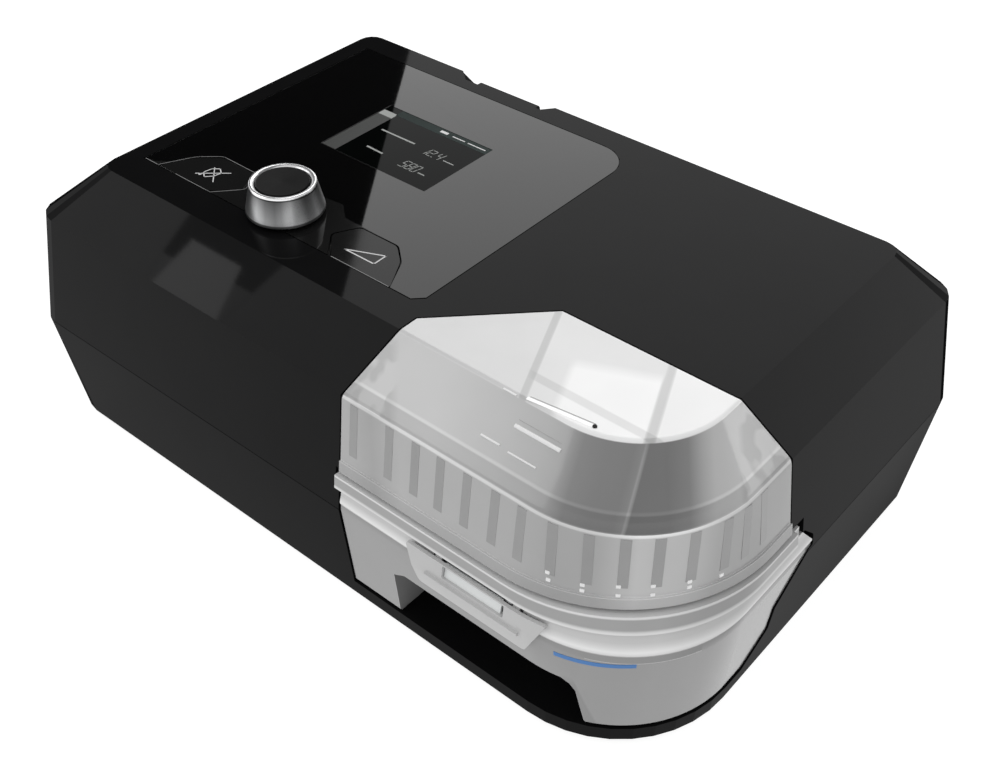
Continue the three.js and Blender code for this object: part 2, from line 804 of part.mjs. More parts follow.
function addKnob() {
  const bottom = bodyHeight + knobLift;
  const top = bodyHeight + knobHeight;
  const lip = 0.9;
  const socketTop = top - capThickness - 3;
  const socket = shaftRadius + fitGap;
  const sleeve = bushRadius + 1;
  const ring = turned([
    [socket, bottom + 2.4], [sleeve, bottom + 2.4], [sleeve, bottom], [knobBaseRadius - 0.8, bottom],
    [knobBaseRadius, bottom + 0.8], [knobTopRadius + 0.2, top - 1.2], [knobTopRadius - 0.6, top],
    [capRadius + fitGap + lip, top], [capRadius + fitGap, top - 0.5],
    [capRadius + fitGap, top - capThickness - fitGap], [0, top - capThickness - fitGap],
    [0, socketTop], [socket, socketTop], [socket, bottom + 2.4],
  ], knobX, knobY);
  addPiece('knob', ring, finish.aluminium);
  const capTop = top - 0.4;
  addPiece('knob_cap', turned([
    [0, capTop - capThickness + 0.4], [capRadius, capTop - capThickness + 0.4],
    [capRadius, capTop - 0.2], [capRadius - 0.4, capTop], [0, capTop],
  ], knobX, knobY), finish.black);

  const encoderLow = displayBoardTop + fitGap;
  const encoderTop = encoderLow + encoderHeight;
  const shaftLow = encoderLow + knobTravel + fitGap + 1;
  const bushTop = bodyHeight - fitGap;
  const half = encoderSize / 2;
  const encoder = block(knobX - half, knobX + half, knobY - half, knobY + half, encoderLow, encoderTop)
    .add(rodZ(knobX, knobY, bushRadius, encoderTop - 1, bushTop, 16))
    .subtract(rodZ(knobX, knobY, shaftRadius + fitGap, shaftLow - knobTravel - fitGap, far, 16));
  addPiece('knob_encoder', encoder, finish.steel);
  addPiece('knob_shaft', rodZ(knobX, knobY, shaftRadius, shaftLow, socketTop - fitGap, 16), finish.steel);
}

// Blower, intake and filter

const blowerY = back - blowerFromBack;
const spoutFront = lidBack + slideGap + bayWall + 4;
const blowerTop = blowerBottom + blowerHeight;

// Round chamber with a straight spout towards the tank, above the tank flange's channel
function blowerPlan(inset, z0, z1) {
  const spoutLeft = blowerX + blowerRadius - spoutWidth;
  const spoutLow = Math.max(z0, lidBottom + slideGap + bayWall + fitGap + inset);
  const spoutEnd = inset > 0 ? spoutFront - 1 : spoutFront;
  const spout = block(spoutLeft + inset, blowerX + blowerRadius - inset, spoutEnd, blowerY, spoutLow, z1);
  return rodZ(blowerX, blowerY, blowerRadius - inset, z0, z1, 32).add(spout);
}

function addBlower() {
  const coverLow = blowerTop - blowerWall;
  const base = blowerPlan(0, blowerBottom, coverLow - fitGap)
    .subtract(blowerPlan(blowerWall, blowerBottom + blowerWall, far))
    .subtract(rodZ(blowerX, blowerY, blowerInlet, 0, far));
  addPiece('blower_base', base, finish.white);
  const cover = blowerPlan(0, coverLow, blowerTop)
    .subtract(rodZ(blowerX, blowerY, motorShaftRadius * 2, 0, far, 16));
  addPiece('blower_cover', cover, finish.white);

  const motorLow = blowerTop + fitGap;
  const motorTop = roofUnder - motorClearance;
  const boreTop = motorLow + (motorTop - motorLow) * 0.7;
  const motor = rodZ(blowerX, blowerY, motorRadius, motorLow, motorTop)
    .subtract(rodZ(blowerX, blowerY, motorShaftRadius + fitGap, 0, boreTop, 16));
  addPiece('blower_motor', motor, finish.steel);

  const wheelLow = blowerBottom + blowerWall + 3;
  const wheelTop = wheelLow + impellerHeight;
  const shaft = rodZ(blowerX, blowerY, motorShaftRadius, wheelLow + 1, boreTop - fitGap, 16);
  addPiece('motor_shaft', shaft, finish.steel);
  const plate = rodZ(blowerX, blowerY, impellerRadius, wheelTop - 1.6, wheelTop);
  const hub = rodZ(blowerX, blowerY, impellerHub, wheelLow, wheelTop);
  const blades = Array.from({ length: bladeCount }, (_, i) => {
    const blade = new THREE.BoxGeometry(impellerRadius - impellerHub, 1.6, impellerHeight - 1);
    blade.translate((impellerRadius + impellerHub) / 2 - 1, -3, wheelLow + (impellerHeight - 1) / 2);
    return toSolid(blade.rotateZ(i / bladeCount * 2 * Math.PI).translate(blowerX, blowerY, 0));
  });
  const bore = rodZ(blowerX, blowerY, motorShaftRadius + fitGap, 0, far, 16);
  addPiece('impeller', unite([plate, hub, ...blades]).subtract(bore), finish.black);

  [0, 1, 2].forEach((i) => {
    const angle = (i / 3 + 0.25) * 2 * Math.PI;
    const x = blowerX + isolatorSpread * Math.cos(angle);
    const y = blowerY + isolatorSpread * Math.sin(angle);
    const post = turned([
      [0, intakeTop + fitGap], [isolatorRadius, intakeTop + fitGap],
      [isolatorRadius * 0.7, (intakeTop + blowerBottom) / 2], [isolatorRadius, blowerBottom - fitGap],
      [0, blowerBottom - fitGap],
    ], x, y, segments.small);
    addPiece(`blower_isolator_${i + 1}`, post, finish.silicone);
  });
}

function addIntake() {
  const rear = wallBackAt(0) - wall - fitGap;
  const boxFront = rear - intakeDepth;
  const outer = block(intakeLeft, intakeRight, boxFront, rear, wall + fitGap, intakeTop);
  const inner = block(intakeLeft + wall, intakeRight - wall, boxFront + wall, rear - wall,
    wall * 2 + fitGap, intakeTop - wall);
  const mouth = block(filterLeft, filterRight, rear - intakeDepth / 2, far, filterBottom, filterTop);
  const hole = rodZ(blowerX, blowerY, blowerInlet + 1, intakeTop - wall - 1, far);
  addPiece('intake_box', outer.subtract(inner).subtract(mouth).subtract(hole), finish.black);

  const padFront = rear - wall;
  const pad = block(filterLeft + fitGap, filterRight - fitGap, padFront, padFront + filterThickness,
    filterBottom + fitGap, filterTop - fitGap);
  addPiece('filter_pad', pad, finish.foam);

  const plateFront = wallBackAt(filterTop + filterCoverLip) + fitGap;
  const plateBack = plateFront + filterCoverPlate;
  const plate = block(filterLeft - filterCoverLip, filterRight + filterCoverLip, plateFront, plateBack,
    filterBottom - filterCoverLip, filterTop + filterCoverLip);
  const plug = block(filterLeft + fitGap, filterRight - fitGap, padFront + filterThickness + fitGap,
    plateBack - 0.5, filterBottom + fitGap, filterTop - fitGap);
  const core = block(filterLeft + wall, filterRight - wall, 0, plateFront - 0.2,
    filterBottom + wall, filterTop - wall);
  const pitch = (filterTop - filterBottom) / (filterSlots + 1);
  const slots = Array.from({ length: filterSlots }, (_, i) => {
    const z = filterBottom + pitch * (i + 1);
    return block(filterLeft + wall * 2, filterRight - wall * 2, 0, far, z - pitch / 5, z + pitch / 5);
  });
  addPiece('filter_cover', plate.add(plug).subtract(core).subtract(unite(slots)), finish.casing);
}

// Air path: seals in the bay wall, return duct and hose port

function airSeal(x, z) {
  return rodY(x, z, ductRadius, lidBack + slideGap, spoutFront - fitGap)
    .subtract(rodY(x, z, ductRadius - ductSeal, -far, far));
}

function addAirPath() {
  addPiece('tank_inlet_seal', airSeal(feedSealX, feedSealHeight), finish.silicone);
  addPiece('tank_outlet_seal', airSeal(returnSealX, returnSealHeight), finish.silicone);

  const portInner = recessWallY - portInset;
  const bendX = returnSealX - ductRun;
  const path = new THREE.CatmullRomCurve3([
    new THREE.Vector3(returnSealX, spoutFront - 6, returnSealHeight),
    new THREE.Vector3(returnSealX, spoutFront + 5, returnSealHeight),
    new THREE.Vector3(returnSealX - ductRun * 0.44, spoutFront + ductRun * 0.53, returnSealHeight - 1),
    new THREE.Vector3(bendX, portInner - 28, returnSealHeight - 1),
    new THREE.Vector3((portX + bendX) / 2 - 4, portInner - 14, (returnSealHeight + portHeight) / 2),
    new THREE.Vector3(portX, portInner - 5, portHeight),
    new THREE.Vector3(portX, portInner + 6, portHeight),
  ]);
  const sweep = (radius) => {
    const section = new THREE.Shape(arcLoop(radius, 12));
    return toSolid(new THREE.ExtrudeGeometry(section, { steps: 16, bevelEnabled: false, extrudePath: path }));
  };
  const ends = block(-far, far, spoutFront, portInner - fitGap, -far, far);
  addPiece('return_duct', sweep(ductRadius).subtract(sweep(ductBore)).intersect(ends), finish.silicone);

  const portLength = overallDepth / 2 - portInner;
  const tube = turnedY([
    [portBore, 0], [portRadius, 0], [portRadius, portLength - 0.8], [portRadius - 0.6, portLength],
    [portBore, portLength], [portBore, 0],
  ], portX, portInner, portHeight, 32);
  const collarFront = recessWallY + fitGap;
  const collar = collarPlate(collarFront, collarFront + collarLength)
    .subtract(rodY(portX, portHeight, (portBore + portRadius) / 2, -far, far, 32));
  addPiece('hose_port', tube.add(collar), finish.casing);
}

// Upright plate round the port, taller above it, with cut corners
function collarPlate(y0, y1) {
  const [x0, x1] = [portX - collarWidth / 2, portX + collarWidth / 2];
  const [z0, z1] = [portHeight - collarBelow, portHeight + collarAbove];
  const c = collarCorner;
  return prismY([
    [x0 + c, z0], [x1 - c, z0], [x1, z0 + c], [x1, z1 - c],
    [x1 - c, z1], [x0 + c, z1], [x0, z1 - c], [x0, z0 + c],
  ], y0, y1);
}

function arcLoop(radius, sides) {
  return Array.from({ length: sides }, (_, i) => {
    const angle = i / sides * 2 * Math.PI;
    return new THREE.Vector2(radius * Math.cos(angle), radius * Math.sin(angle));
  });
}

// Heater in the tray

const heaterX = (tankLeft + tubInnerRight) / 2 + 2;
const heaterY = tubBack - tubWall - heaterDepth / 2 - 2;

function heaterRect(inset, z0, z1) {
  return block(heaterX - heaterWidth / 2 + inset, heaterX + heaterWidth / 2 - inset,
    heaterY - heaterDepth / 2 + inset, heaterY + heaterDepth / 2 - inset, z0, z1)
    .intersect(sidePlan(-heaterMargin - inset));
}

function heaterBlock(grow, top) {
  const low = tubBottom - fitGap - heaterThickness - heaterElementThickness - fitGap * 2;
  return heaterRect(-grow, low, top).intersect(block(-far, far, -far, far, -far, tubBottom));
}

function addHeater() {
  const plateTop = tubBottom - fitGap;
  addPiece('heater_plate', heaterRect(0, plateTop - heaterThickness, plateTop), finish.aluminium);
  const elementTop = plateTop - heaterThickness - fitGap;
  addPiece('heater_element', heaterRect(3, elementTop - heaterElementThickness, elementTop), finish.board);
}

// Water tank: lid, seal, tub, base plate, latch

const pinHeight = flangeBottom - latchPinDrop;
const latchFront = front - latchProud;
const pinY = latchFront + latchPinBehind;
const latchTop = pinHeight + 1.3;
const earGap = 1;
const pocketLeft = latchWindowLeft - latchEar - 2 - earGap;
const pocketRight = latchWindowRight + latchEar + 2 + earGap;

function gripSpace(grow) {
  return prismY([
    [gripLeft - grow, -10],
    [gripRight + grow, -10],
    [gripRight + grow, tubBottom],
    [gripRight - 2.2 + grow, gripTop - 5],
    [gripRight - 6.5 + grow, gripTop + grow],
    [gripLeft + 5 - grow, gripTop + grow],
    [gripLeft - grow, gripTop - 3],
  ], -far, front + gripDepth + grow);
}

function latchPocket(grow) {
  return block(pocketLeft - grow, pocketRight + grow, -far, pinY + latchEarRadius + 0.4 + grow,
    pinHeight - 9 - grow, pinHeight + latchEarRadius + 0.5 + grow);
}

function addTank() {
  const outer = envelope(tubBottom, flangeTop, tubInset);
  const near = upTo(tubBack, tubBottom, tubTop).intersect(block(-far, tubInnerRight, -far, far, -far, far));
  const neck = upTo(flangeBack, tubTop - 4, flangeTop);
  const flange = sidePlan(flangeSideProud)
    .intersect(upTo(flangeBack + flangeSideProud, flangeBottom, flangeTop))
    .intersect(envelope(flangeBottom, flangeTop, -flangeProud));
  const shell = unite([near, tubSkin(0, 0), neck]).intersect(sidePlan(0)).intersect(outer).add(flange);

  const floorTop = tubBottom + tubFloor;
  const hollowNear = upTo(tubBack - tubWall, floorTop, tubTop - tubWall)
    .intersect(block(-far, tubInnerRight - tubWall, -far, far, 0, far));
  const hollowFront = upTo(front + 57 - tubWall, floorTop, far);
  const hollowTop = upTo(flangeBack - tubWall, tubTop - tubWall * 2, far);
  const hollow = unite([hollowNear, hollowFront, hollowTop])
    .intersect(sidePlan(-tubWall))
    .intersect(envelope(floorTop, flangeTop + 5, tubInset + tubWall))
    .subtract(gripSpace(tubWall)).subtract(latchPocket(tubWall));
  const pin = rodX(pinY, pinHeight, latchPinRadius + fitGap, pocketLeft - 1.4, pocketRight + 1.4);
  const plateCut = heaterRect(-fitGap, tubBottom - 1, tubBottom + tubPlateThickness + fitGap);
  const plateHole = heaterRect(tubPlateRebate, tubBottom - 1, floorTop + 1);
  const tub = shell.subtract(hollow).subtract(gripSpace(0)).subtract(latchPocket(0)).subtract(pin)
    .subtract(plateCut).subtract(plateHole);
  addPiece('water_tub', tub, finish.tub);
  addPiece('tub_base_plate', heaterRect(0, tubBottom, tubBottom + tubPlateThickness), finish.steel);

  const tankTop = (grow) => lidPlan(grow, 0, far).intersect(sidePlan(grow));
  const dome = envelope(lidBottom, bodyHeight).add(envelope(lidBottom, lidBottom + lidLipHeight, -lidLip))
    .intersect(tankTop(0));
  const lidHollow = envelope(lidBottom - 1, bodyHeight - lidWall, lidWall, lidWall)
    .intersect(tankTop(-lidWall));
  const airHoles = [[feedSealX, feedSealHeight], [returnSealX, returnSealHeight]].map(([x, z]) => {
    return rodY(x, z, ductRadius - ductSeal, lidBack - lidWall - 1, lidBack + 1, 16);
  });
  addPiece('tank_lid', dome.subtract(lidHollow).subtract(unite(airHoles)), finish.clear);

  const sealLow = flangeTop + fitGap;
  const sealTop = lidBottom - fitGap;
  const ring = envelope(sealLow, sealTop, sealInset).intersect(tankTop(-sealInset));
  const gap = envelope(sealLow - 1, sealTop + 1, sealInset + sealWidth)
    .intersect(tankTop(-sealInset - sealWidth));
  addPiece('tank_seal', ring.subtract(gap), finish.silicone);
}

function addLatch() {
  const plate = prismY([
    [latchFootLeft, latchBottom], [latchFootRight, latchBottom],
    [latchRight, latchTop], [latchLeft, latchTop],
  ], latchFront, latchFront + latchThickness);
  const windowTop = pinHeight - 0.2;
  const windowLow = windowTop - latchWindowHeight;
  const opening = block(latchWindowLeft, latchWindowRight, -far, far, windowLow, windowTop);
  const ears = [pocketLeft + earGap, pocketRight - earGap - latchEar].map((x) => {
    return block(x, x + latchEar, latchFront + 1, pinY, pinHeight - latchEarRadius, latchTop)
      .add(rodX(pinY, pinHeight, latchEarRadius, x, x + latchEar, 16));
  });
  const hole = rodX(pinY, pinHeight, latchPinRadius + fitGap, -far, far);
  addPiece('tank_latch', plate.subtract(opening).add(unite(ears)).subtract(hole), finish.clear);
  const pin = rodX(pinY, pinHeight, latchPinRadius, pocketLeft - 1.1, pocketRight + 1.1);
  addPiece('latch_pin', pin, finish.steel);
}

// Feet and screws

function addFixings() {
  footPlaces.forEach(([x, y], i) => {
    const foot = turned([
      [0, -footProud], [footRadius - 1, -footProud], [footRadius, -footProud + 1],
      [footRadius, footRecess - fitGap], [0, footRecess - fitGap],
    ], x, y, 20);
    addPiece(`foot_${i + 1}`, foot, finish.rubber);
  });
  screwPlaces.forEach(([x, y], i) => {
    const headTop = screwLedge - fitGap;
    const headLow = headTop - screwHeadHeight;
    const tip = headTop + screwLength;
    const screw = turned([
      [0, headLow], [screwHeadRadius, headLow], [screwHeadRadius, headTop],
      [screwShankRadius, headTop], [screwShankRadius, tip], [0, tip],
    ], x, y, segments.small);
    addPiece(`case_screw_${i + 1}`, screw, finish.steel);
  });
}

addCasings();
addBoards();
addPowerInlet();
addCard();
addDeck();
addKnob();
addBlower();
addIntake();
addAirPath();
addHeater();
addTank();
addLatch();
addFixings();

export default part;
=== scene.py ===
import math
from collections import namedtuple

import bpy
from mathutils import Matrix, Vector


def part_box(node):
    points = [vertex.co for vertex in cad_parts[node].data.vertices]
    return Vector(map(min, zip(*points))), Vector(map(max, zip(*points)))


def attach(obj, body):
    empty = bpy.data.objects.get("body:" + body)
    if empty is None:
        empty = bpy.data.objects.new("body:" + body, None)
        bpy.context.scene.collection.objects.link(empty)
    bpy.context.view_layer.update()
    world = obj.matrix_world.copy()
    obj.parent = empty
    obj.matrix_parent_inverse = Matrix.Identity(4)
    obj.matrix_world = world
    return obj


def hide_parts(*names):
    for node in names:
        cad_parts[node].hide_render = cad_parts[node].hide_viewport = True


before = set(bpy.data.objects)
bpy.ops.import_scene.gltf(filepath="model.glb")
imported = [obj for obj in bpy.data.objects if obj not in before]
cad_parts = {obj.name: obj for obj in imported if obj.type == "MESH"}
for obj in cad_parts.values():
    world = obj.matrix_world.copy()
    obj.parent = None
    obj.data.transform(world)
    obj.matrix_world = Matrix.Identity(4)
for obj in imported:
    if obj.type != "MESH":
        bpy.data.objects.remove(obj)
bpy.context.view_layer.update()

MM = 0.001
# What has to reach right past the casing goes this far
FAR = 290.0
# A cutting shape goes this far past what it cuts
PAST = 1.0
# Height of the casing's bottom, in metres and in millimetres
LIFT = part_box("lower_housing")[0].z
FOOT = LIFT / MM


def mm_box(node):
    """A CAD node's lowest and highest corner in millimetres, in the casing's frame."""
    low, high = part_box(node)
    shift = Vector((0, 0, LIFT))
    return (low - shift) / MM, (high - shift) / MM


CASE_LOW, CASE_HIGH = mm_box("lower_housing")
ROOF = mm_box("upper_housing")[1].z
HALF = CASE_HIGH.x
FRONT, BACK = CASE_LOW.y, CASE_HIGH.y
LID_FOOT = mm_box("tank_lid")[0].z
TUB_FOOT, TUB_HEAD = (corner.z for corner in mm_box("water_tub"))
LATCH_LOW, LATCH_HIGH = mm_box("tank_latch")
SEAL_FOOT, SEAL_HEAD = (corner.z for corner in mm_box("tank_seal"))
WINDOW_LOW, WINDOW_HIGH = mm_box("display_window")
SCREEN_HEAD = mm_box("lcd_module")[1].z
KNOB_LOW, KNOB_HIGH = mm_box("knob")
CAP_FOOT = mm_box("knob_cap")[0].z
PORT_LOW, PORT_HIGH = mm_box("hose_port")
KNOB_X = (KNOB_LOW.x + KNOB_HIGH.x) / 2
KNOB_Y = (KNOB_LOW.y + KNOB_HIGH.y) / 2

# Casing section: height, insets of sides, front and back from the parting line, corner radii
Level = namedtuple("Level", "z side front back corner tank")
SEAM, FLANGE_LOW, BROW = 44.6, 54.0, 90.0
# How far the walls lean in between seam and brow
WALL_LEAN = 5.8
CASE_CORNER = 10.6


def wall_level(z, tank):
    inset = WALL_LEAN * (z - SEAM) / (BROW - SEAM)
    return Level(z, inset, inset, inset, CASE_CORNER, tank)


BROW_LEVEL = wall_level(BROW, 45.3)
TOP_LEVEL = Level(ROOF, 23, 26.6, 20, 6, 31.2)
LEVELS = [Level(0, 4.2, 4.2, 4.2, 12.2, 45), wall_level(SEAM, 45.5), wall_level(FLANGE_LOW, 52),
          wall_level(61, 57), BROW_LEVEL, TOP_LEVEL]
TOP_FRONT = FRONT + TOP_LEVEL.front
SHOULDER_FRONT = TOP_FRONT + 7.2
# Length of the soft turns at brow and roof
CREASE = 2.2
EDGE = 1.0
CORNER_STEPS = 10
TANK_CORNER_STEPS = 28

# Lid: wall, lip, and its left side and rear as lines in X and Y
LID_WALL = 2.2
LID_LIP = 0.7
LID_LIP_HEIGHT = 4.3
TANK_LEFT = 20.0
TANK_SHOULDER = 26.0
TANK_SIDE = [(TANK_LEFT, -FAR), (TANK_LEFT, -90.2), (TANK_SHOULDER, TOP_FRONT),
             (TANK_SHOULDER, SHOULDER_FRONT), (TANK_SHOULDER + FAR, SHOULDER_FRONT + FAR)]
LID_BACK, LID_BACK_RIGHT = -30.4, -25.1
LID_REAR = [(-FAR, LID_BACK), (121, LID_BACK), (144.5, LID_BACK_RIGHT), (2 * FAR, LID_BACK_RIGHT)]
AIR_HOLES = [(106, 74), (70, 80)]
AIR_HOLE_RADIUS = 7.5

# Tub
FLANGE_PROUD = 1.2
FLANGE_SIDE = 1.5
FLANGE_BACK = -19.5
FLANGE_END = -22.3
TUB_BACK = -13.0
TUB_WALL = 2.2
TUB_FLOOR = 2.4
TUB_TOP = 49.5
TUB_INNER_RIGHT = 136.0
TUB_SKIN = 20.0
NECK_DEPTH = 4.0
HOLLOW_INSET, HOLLOW_TOP = 2.9, 70.0
BASE_GAP = 0.3
# The tub's right flank from the side, in Y and Z
FLANK_Y = FRONT + 57
TUB_FLANK = [
    (-FAR, TUB_FOOT), (FLANK_Y, TUB_FOOT), (FLANK_Y + 12, 17), (FLANK_Y + 12, 28),
    (FLANK_Y + 25, 44.5), (FLANK_Y + 27.6, 45), (FLANK_Y + 27.6, 48.3), (FLANK_Y + 22, 55), (-FAR, 55),
]
# Height and inset of the tub's outside, with the bead under its flange
TUB_PROFILE = [
    (TUB_FOOT, 1.3), (TUB_FOOT + 1.2, 0.5), (SEAM, 0.5), (46.7, 0.5), (47.1, 0.2), (47.8, -0.05),
    (48.6, -0.05), (49.6, 0.15), (50.8, 0.4), (53, 0.35), (60, 0.25),
]
# Finger recess, and the pocket behind the latch
GRIP_LEFT, GRIP_RIGHT, GRIP_FOOT, GRIP_TOP, GRIP_BACK = 41.0, 115.6, -10.0, 30.0, FRONT + 25
POCKET_LEFT, POCKET_RIGHT, POCKET_BACK, POCKET_LOW, POCKET_HIGH = 60.5, 95.8, -91.4, 42.1, 53.4


# Meshes

def placed(name, data):
    thing = bpy.data.objects.new(name, data)
    bpy.context.scene.collection.objects.link(thing)
    return thing


def mesh_object(name, points, faces):
    """A new object from points in millimetres in the casing's frame."""
    mesh = bpy.data.meshes.new(name)
    mesh.from_pydata([(x * MM, y * MM, (z + FOOT) * MM) for x, y, z in points], [], faces)
    mesh.update()
    return placed(name, mesh)


def loft(rings):
    """A closed solid through outlines with the same number of points, lowest first, each anticlockwise."""
    count = len(rings[0])
    faces = [tuple(reversed(range(count)))]
    for start in range(0, (len(rings) - 1) * count, count):
        for i in range(count):
            j = (i + 1) % count
            faces.append((start + i, start + j, start + count + j, start + count + i))
    last = (len(rings) - 1) * count
    faces.append(tuple(range(last, last + count)))
    return mesh_object("loft", [point for ring in rings for point in ring], faces)


def prism_z(points, z0, z1):
    return loft([[(x, y, z) for x, y in points] for z in (z0, z1)])


def prism_x(points, x0, x1):
    """From an outline in Y and Z, anticlockwise as seen from +X."""
    return loft([[(x, y, z) for y, z in points] for x in (x0, x1)])


def prism_y(points, y0, y1):
    """From an outline in X and Z, anticlockwise as seen from -Y."""
    return loft([[(x, y, z) for x, z in points] for y in (y1, y0)])


def rectangle(x0, x1, y0, y1):
    return [(x0, y0), (x1, y0), (x1, y1), (x0, y1)]


def circle(x, y, radius, steps):
    angles = [2 * math.pi * i / steps for i in range(steps)]
    return [(x + radius * math.cos(a), y + radius * math.sin(a)) for a in angles]


def block(x0, x1, y0, y1, z0, z1):
    return prism_z(rectangle(x0, x1, y0, y1), z0, z1)


def disc(x, y, radius, z0, z1, steps=64):
    return prism_z(circle(x, y, radius, steps), z0, z1)


def rod_x(y, z, radius, x0, x1, steps=24):
    return prism_x(circle(y, z, radius, steps), x0, x1)


def rod_y(x, z, radius, y0, y1, steps=40):
    return prism_y(circle(x, z, radius, steps), y0, y1)


def lathe(profile, centre, axis, steps):
    """A closed profile of radius and distance, turned about the axis Y or Z through centre."""
    rings = len(profile)
    points = []
    for i in range(steps):
        angle = 2 * math.pi * i / steps
        for radius, along in profile:
            u, v = radius * math.cos(angle), radius * math.sin(angle)
            spot = (u, v, along) if axis == "Z" else (-u, along, v)
            points.append(tuple(a + b for a, b in zip(spot, centre)))
    faces = []
    for i in range(steps):
        here, there = i * rings, (i + 1) % steps * rings
        for k in range(rings):
            after = (k + 1) % rings
            faces.append((here + k, there + k, there + after, here + after))
    piece = mesh_object("lathe", points, faces)
    piece.data.validate()
    return piece


def combine(base, operation, tools):
    """Joins, cuts or crosses base with each tool, and uses the tools up."""
    for tool in tools:
        change = base.modifiers.new("combine", "BOOLEAN")
        change.operation, change.solver, change.object = operation, "MANIFOLD", tool
        shape = bpy.data.meshes.new_from_object(base.evaluated_get(bpy.context.evaluated_depsgraph_get()))
        base.modifiers.clear()
        base.data = shape
        bpy.data.objects.remove(tool)
    return base


def join(base, *tools):
    return combine(base, "UNION", tools)


def cut(base, *tools):
    return combine(base, "DIFFERENCE", tools)


def cross(base, *tools):
    return combine(base, "INTERSECT", tools)


def arc(x, y, radius, start, steps):
    """A quarter turn from start degrees."""
    angles = [math.radians(start + 90 * i / steps) for i in range(steps + 1)]
    return [(x + radius * math.cos(a), y + radius * math.sin(a)) for a in angles]


def rounded(points, radius, steps=4):
    soft = []
    for i, corner in enumerate(points):
        here = Vector(corner)
        before, after = Vector(points[i - 1]), Vector(points[(i + 1) % len(points)])
        run = min(radius, (before - here).length / 2.2, (after - here).length / 2.2)
        start = here + (before - here).normalized() * run
        end = here + (after - here).normalized() * run
        for k in range(steps + 1):
            t = k / steps
            soft.append(tuple(start * (1 - t) ** 2 + here * 2 * t * (1 - t) + end * t * t))
    return soft


def moved_line(points, distance):
    """An open line moved sideways, to its left."""
    normals = []
    for (x0, y0), (x1, y1) in zip(points, points[1:]):
        length = math.hypot(x1 - x0, y1 - y0)
        normals.append(((y0 - y1) / length, (x1 - x0) / length))
    moved = []
    for i, (x, y) in enumerate(points):
        a, b = normals[max(i - 1, 0)], normals[min(i, len(normals) - 1)]
        stretch = 1 + a[0] * b[0] + a[1] * b[1]
        moved.append((x + (a[0] + b[0]) * distance / stretch, y + (a[1] + b[1]) * distance / stretch))
    return moved


# Casing envelope

def level_at(z):
    upper = next((i for i, level in enumerate(LEVELS) if i and level.z >= z), len(LEVELS) - 1)
    low, high = LEVELS[upper - 1], LEVELS[upper]
    t = (z - low.z) / (high.z - low.z)
    return Level(*(a + (b - a) * t for a, b in zip(low, high)))


def bend(before, middle, after, steps=6):
    """Levels of a soft turn from before to after, about middle."""
    turn = []
    for k in range(steps + 1):
        t = k / steps
        turn.append(Level(*((1 - t) ** 2 * a + 2 * t * (1 - t) * b + t * t * c
                            for a, b, c in zip(before, middle, after))))
    return turn


def ring(level, inset=0.0, drop=0.0):
    x = HALF - level.side - inset
    y0, y1 = FRONT + level.front + inset, BACK - level.back - inset
    r, t = max(level.corner - inset, 1), max(level.tank - inset, 1)
    outline = arc(-x + r, y0 + r, r, 180, CORNER_STEPS) + arc(x - t, y0 + t, t, 270, TANK_CORNER_STEPS)
    outline += arc(x - r, y1 - r, r, 0, CORNER_STEPS) + arc(-x + r, y1 - r, r, 90, CORNER_STEPS)
    return [(px, py, level.z - drop) for px, py in outline]


def envelope(z0, z1, inset=0.0, drop=0.0):
    """The casing's outside between two heights, set in and lowered for a cavity, its edges soft."""
    low, high = z0 + drop, z1 + drop
    levels = [level_at(low), *(level for level in LEVELS if low < level.z < min(high, BROW))]
    if low < BROW - CREASE and high > BROW:
        levels += bend(level_at(BROW - CREASE), BROW_LEVEL, level_at(BROW + CREASE / 2))
    if high >= ROOF - 0.01:
        z, *insets, corner, tank = TOP_LEVEL
        over = Level(z, *(inset + EDGE for inset in insets), corner - EDGE, tank - EDGE)
        levels += bend(level_at(ROOF - EDGE / 2), TOP_LEVEL, over)
    else:
        levels.append(level_at(high))
    return loft([ring(level, inset, drop) for level in levels])


def side_plan(grow):
    line = moved_line(TANK_SIDE, grow)
    return prism_z([*line, (2 * FAR, SHOULDER_FRONT + FAR), (2 * FAR, -FAR)][::-1], -FAR, FAR)


def lid_plan(grow):
    return prism_z([*moved_line(LID_REAR, grow), (2 * FAR, -FAR), (-FAR, -FAR)][::-1], -FAR, FAR)


def tank_top(grow):
    return cross(lid_plan(grow), side_plan(grow))


def up_to(rear, z0, z1):
    return block(-FAR, 2 * FAR, -FAR, rear, z0, z1)


# Materials

PLAIN = (1, 1, 1)


def set_inputs(node, values):
    for name, value in values.items():
        node.inputs[name].default_value = value


def colour_socket(sockets, name):
    return next(socket for socket in sockets if socket.name == name and socket.type == "RGBA")


def colour_mix(tree, one, other, blend="MIX"):
    node = tree.nodes.new("ShaderNodeMix")
    node.data_type, node.blend_type = "RGBA", blend
    for name, value in (("A", one), ("B", other)):
        socket = colour_socket(node.inputs, name)
        if isinstance(value, tuple):
            socket.default_value = (*value, 1)
        else:
            tree.links.new(value, socket)
    return node


def mixed(tree, factor, low, high):
    """A colour between low and high, chosen by factor."""
    node = colour_mix(tree, low, high)
    tree.links.new(factor, node.inputs["Factor"])
    return colour_socket(node.outputs, "Result")


def product(tree, one, other):
    node = colour_mix(tree, one, other, "MULTIPLY")
    node.inputs["Factor"].default_value = 1
    return colour_socket(node.outputs, "Result")


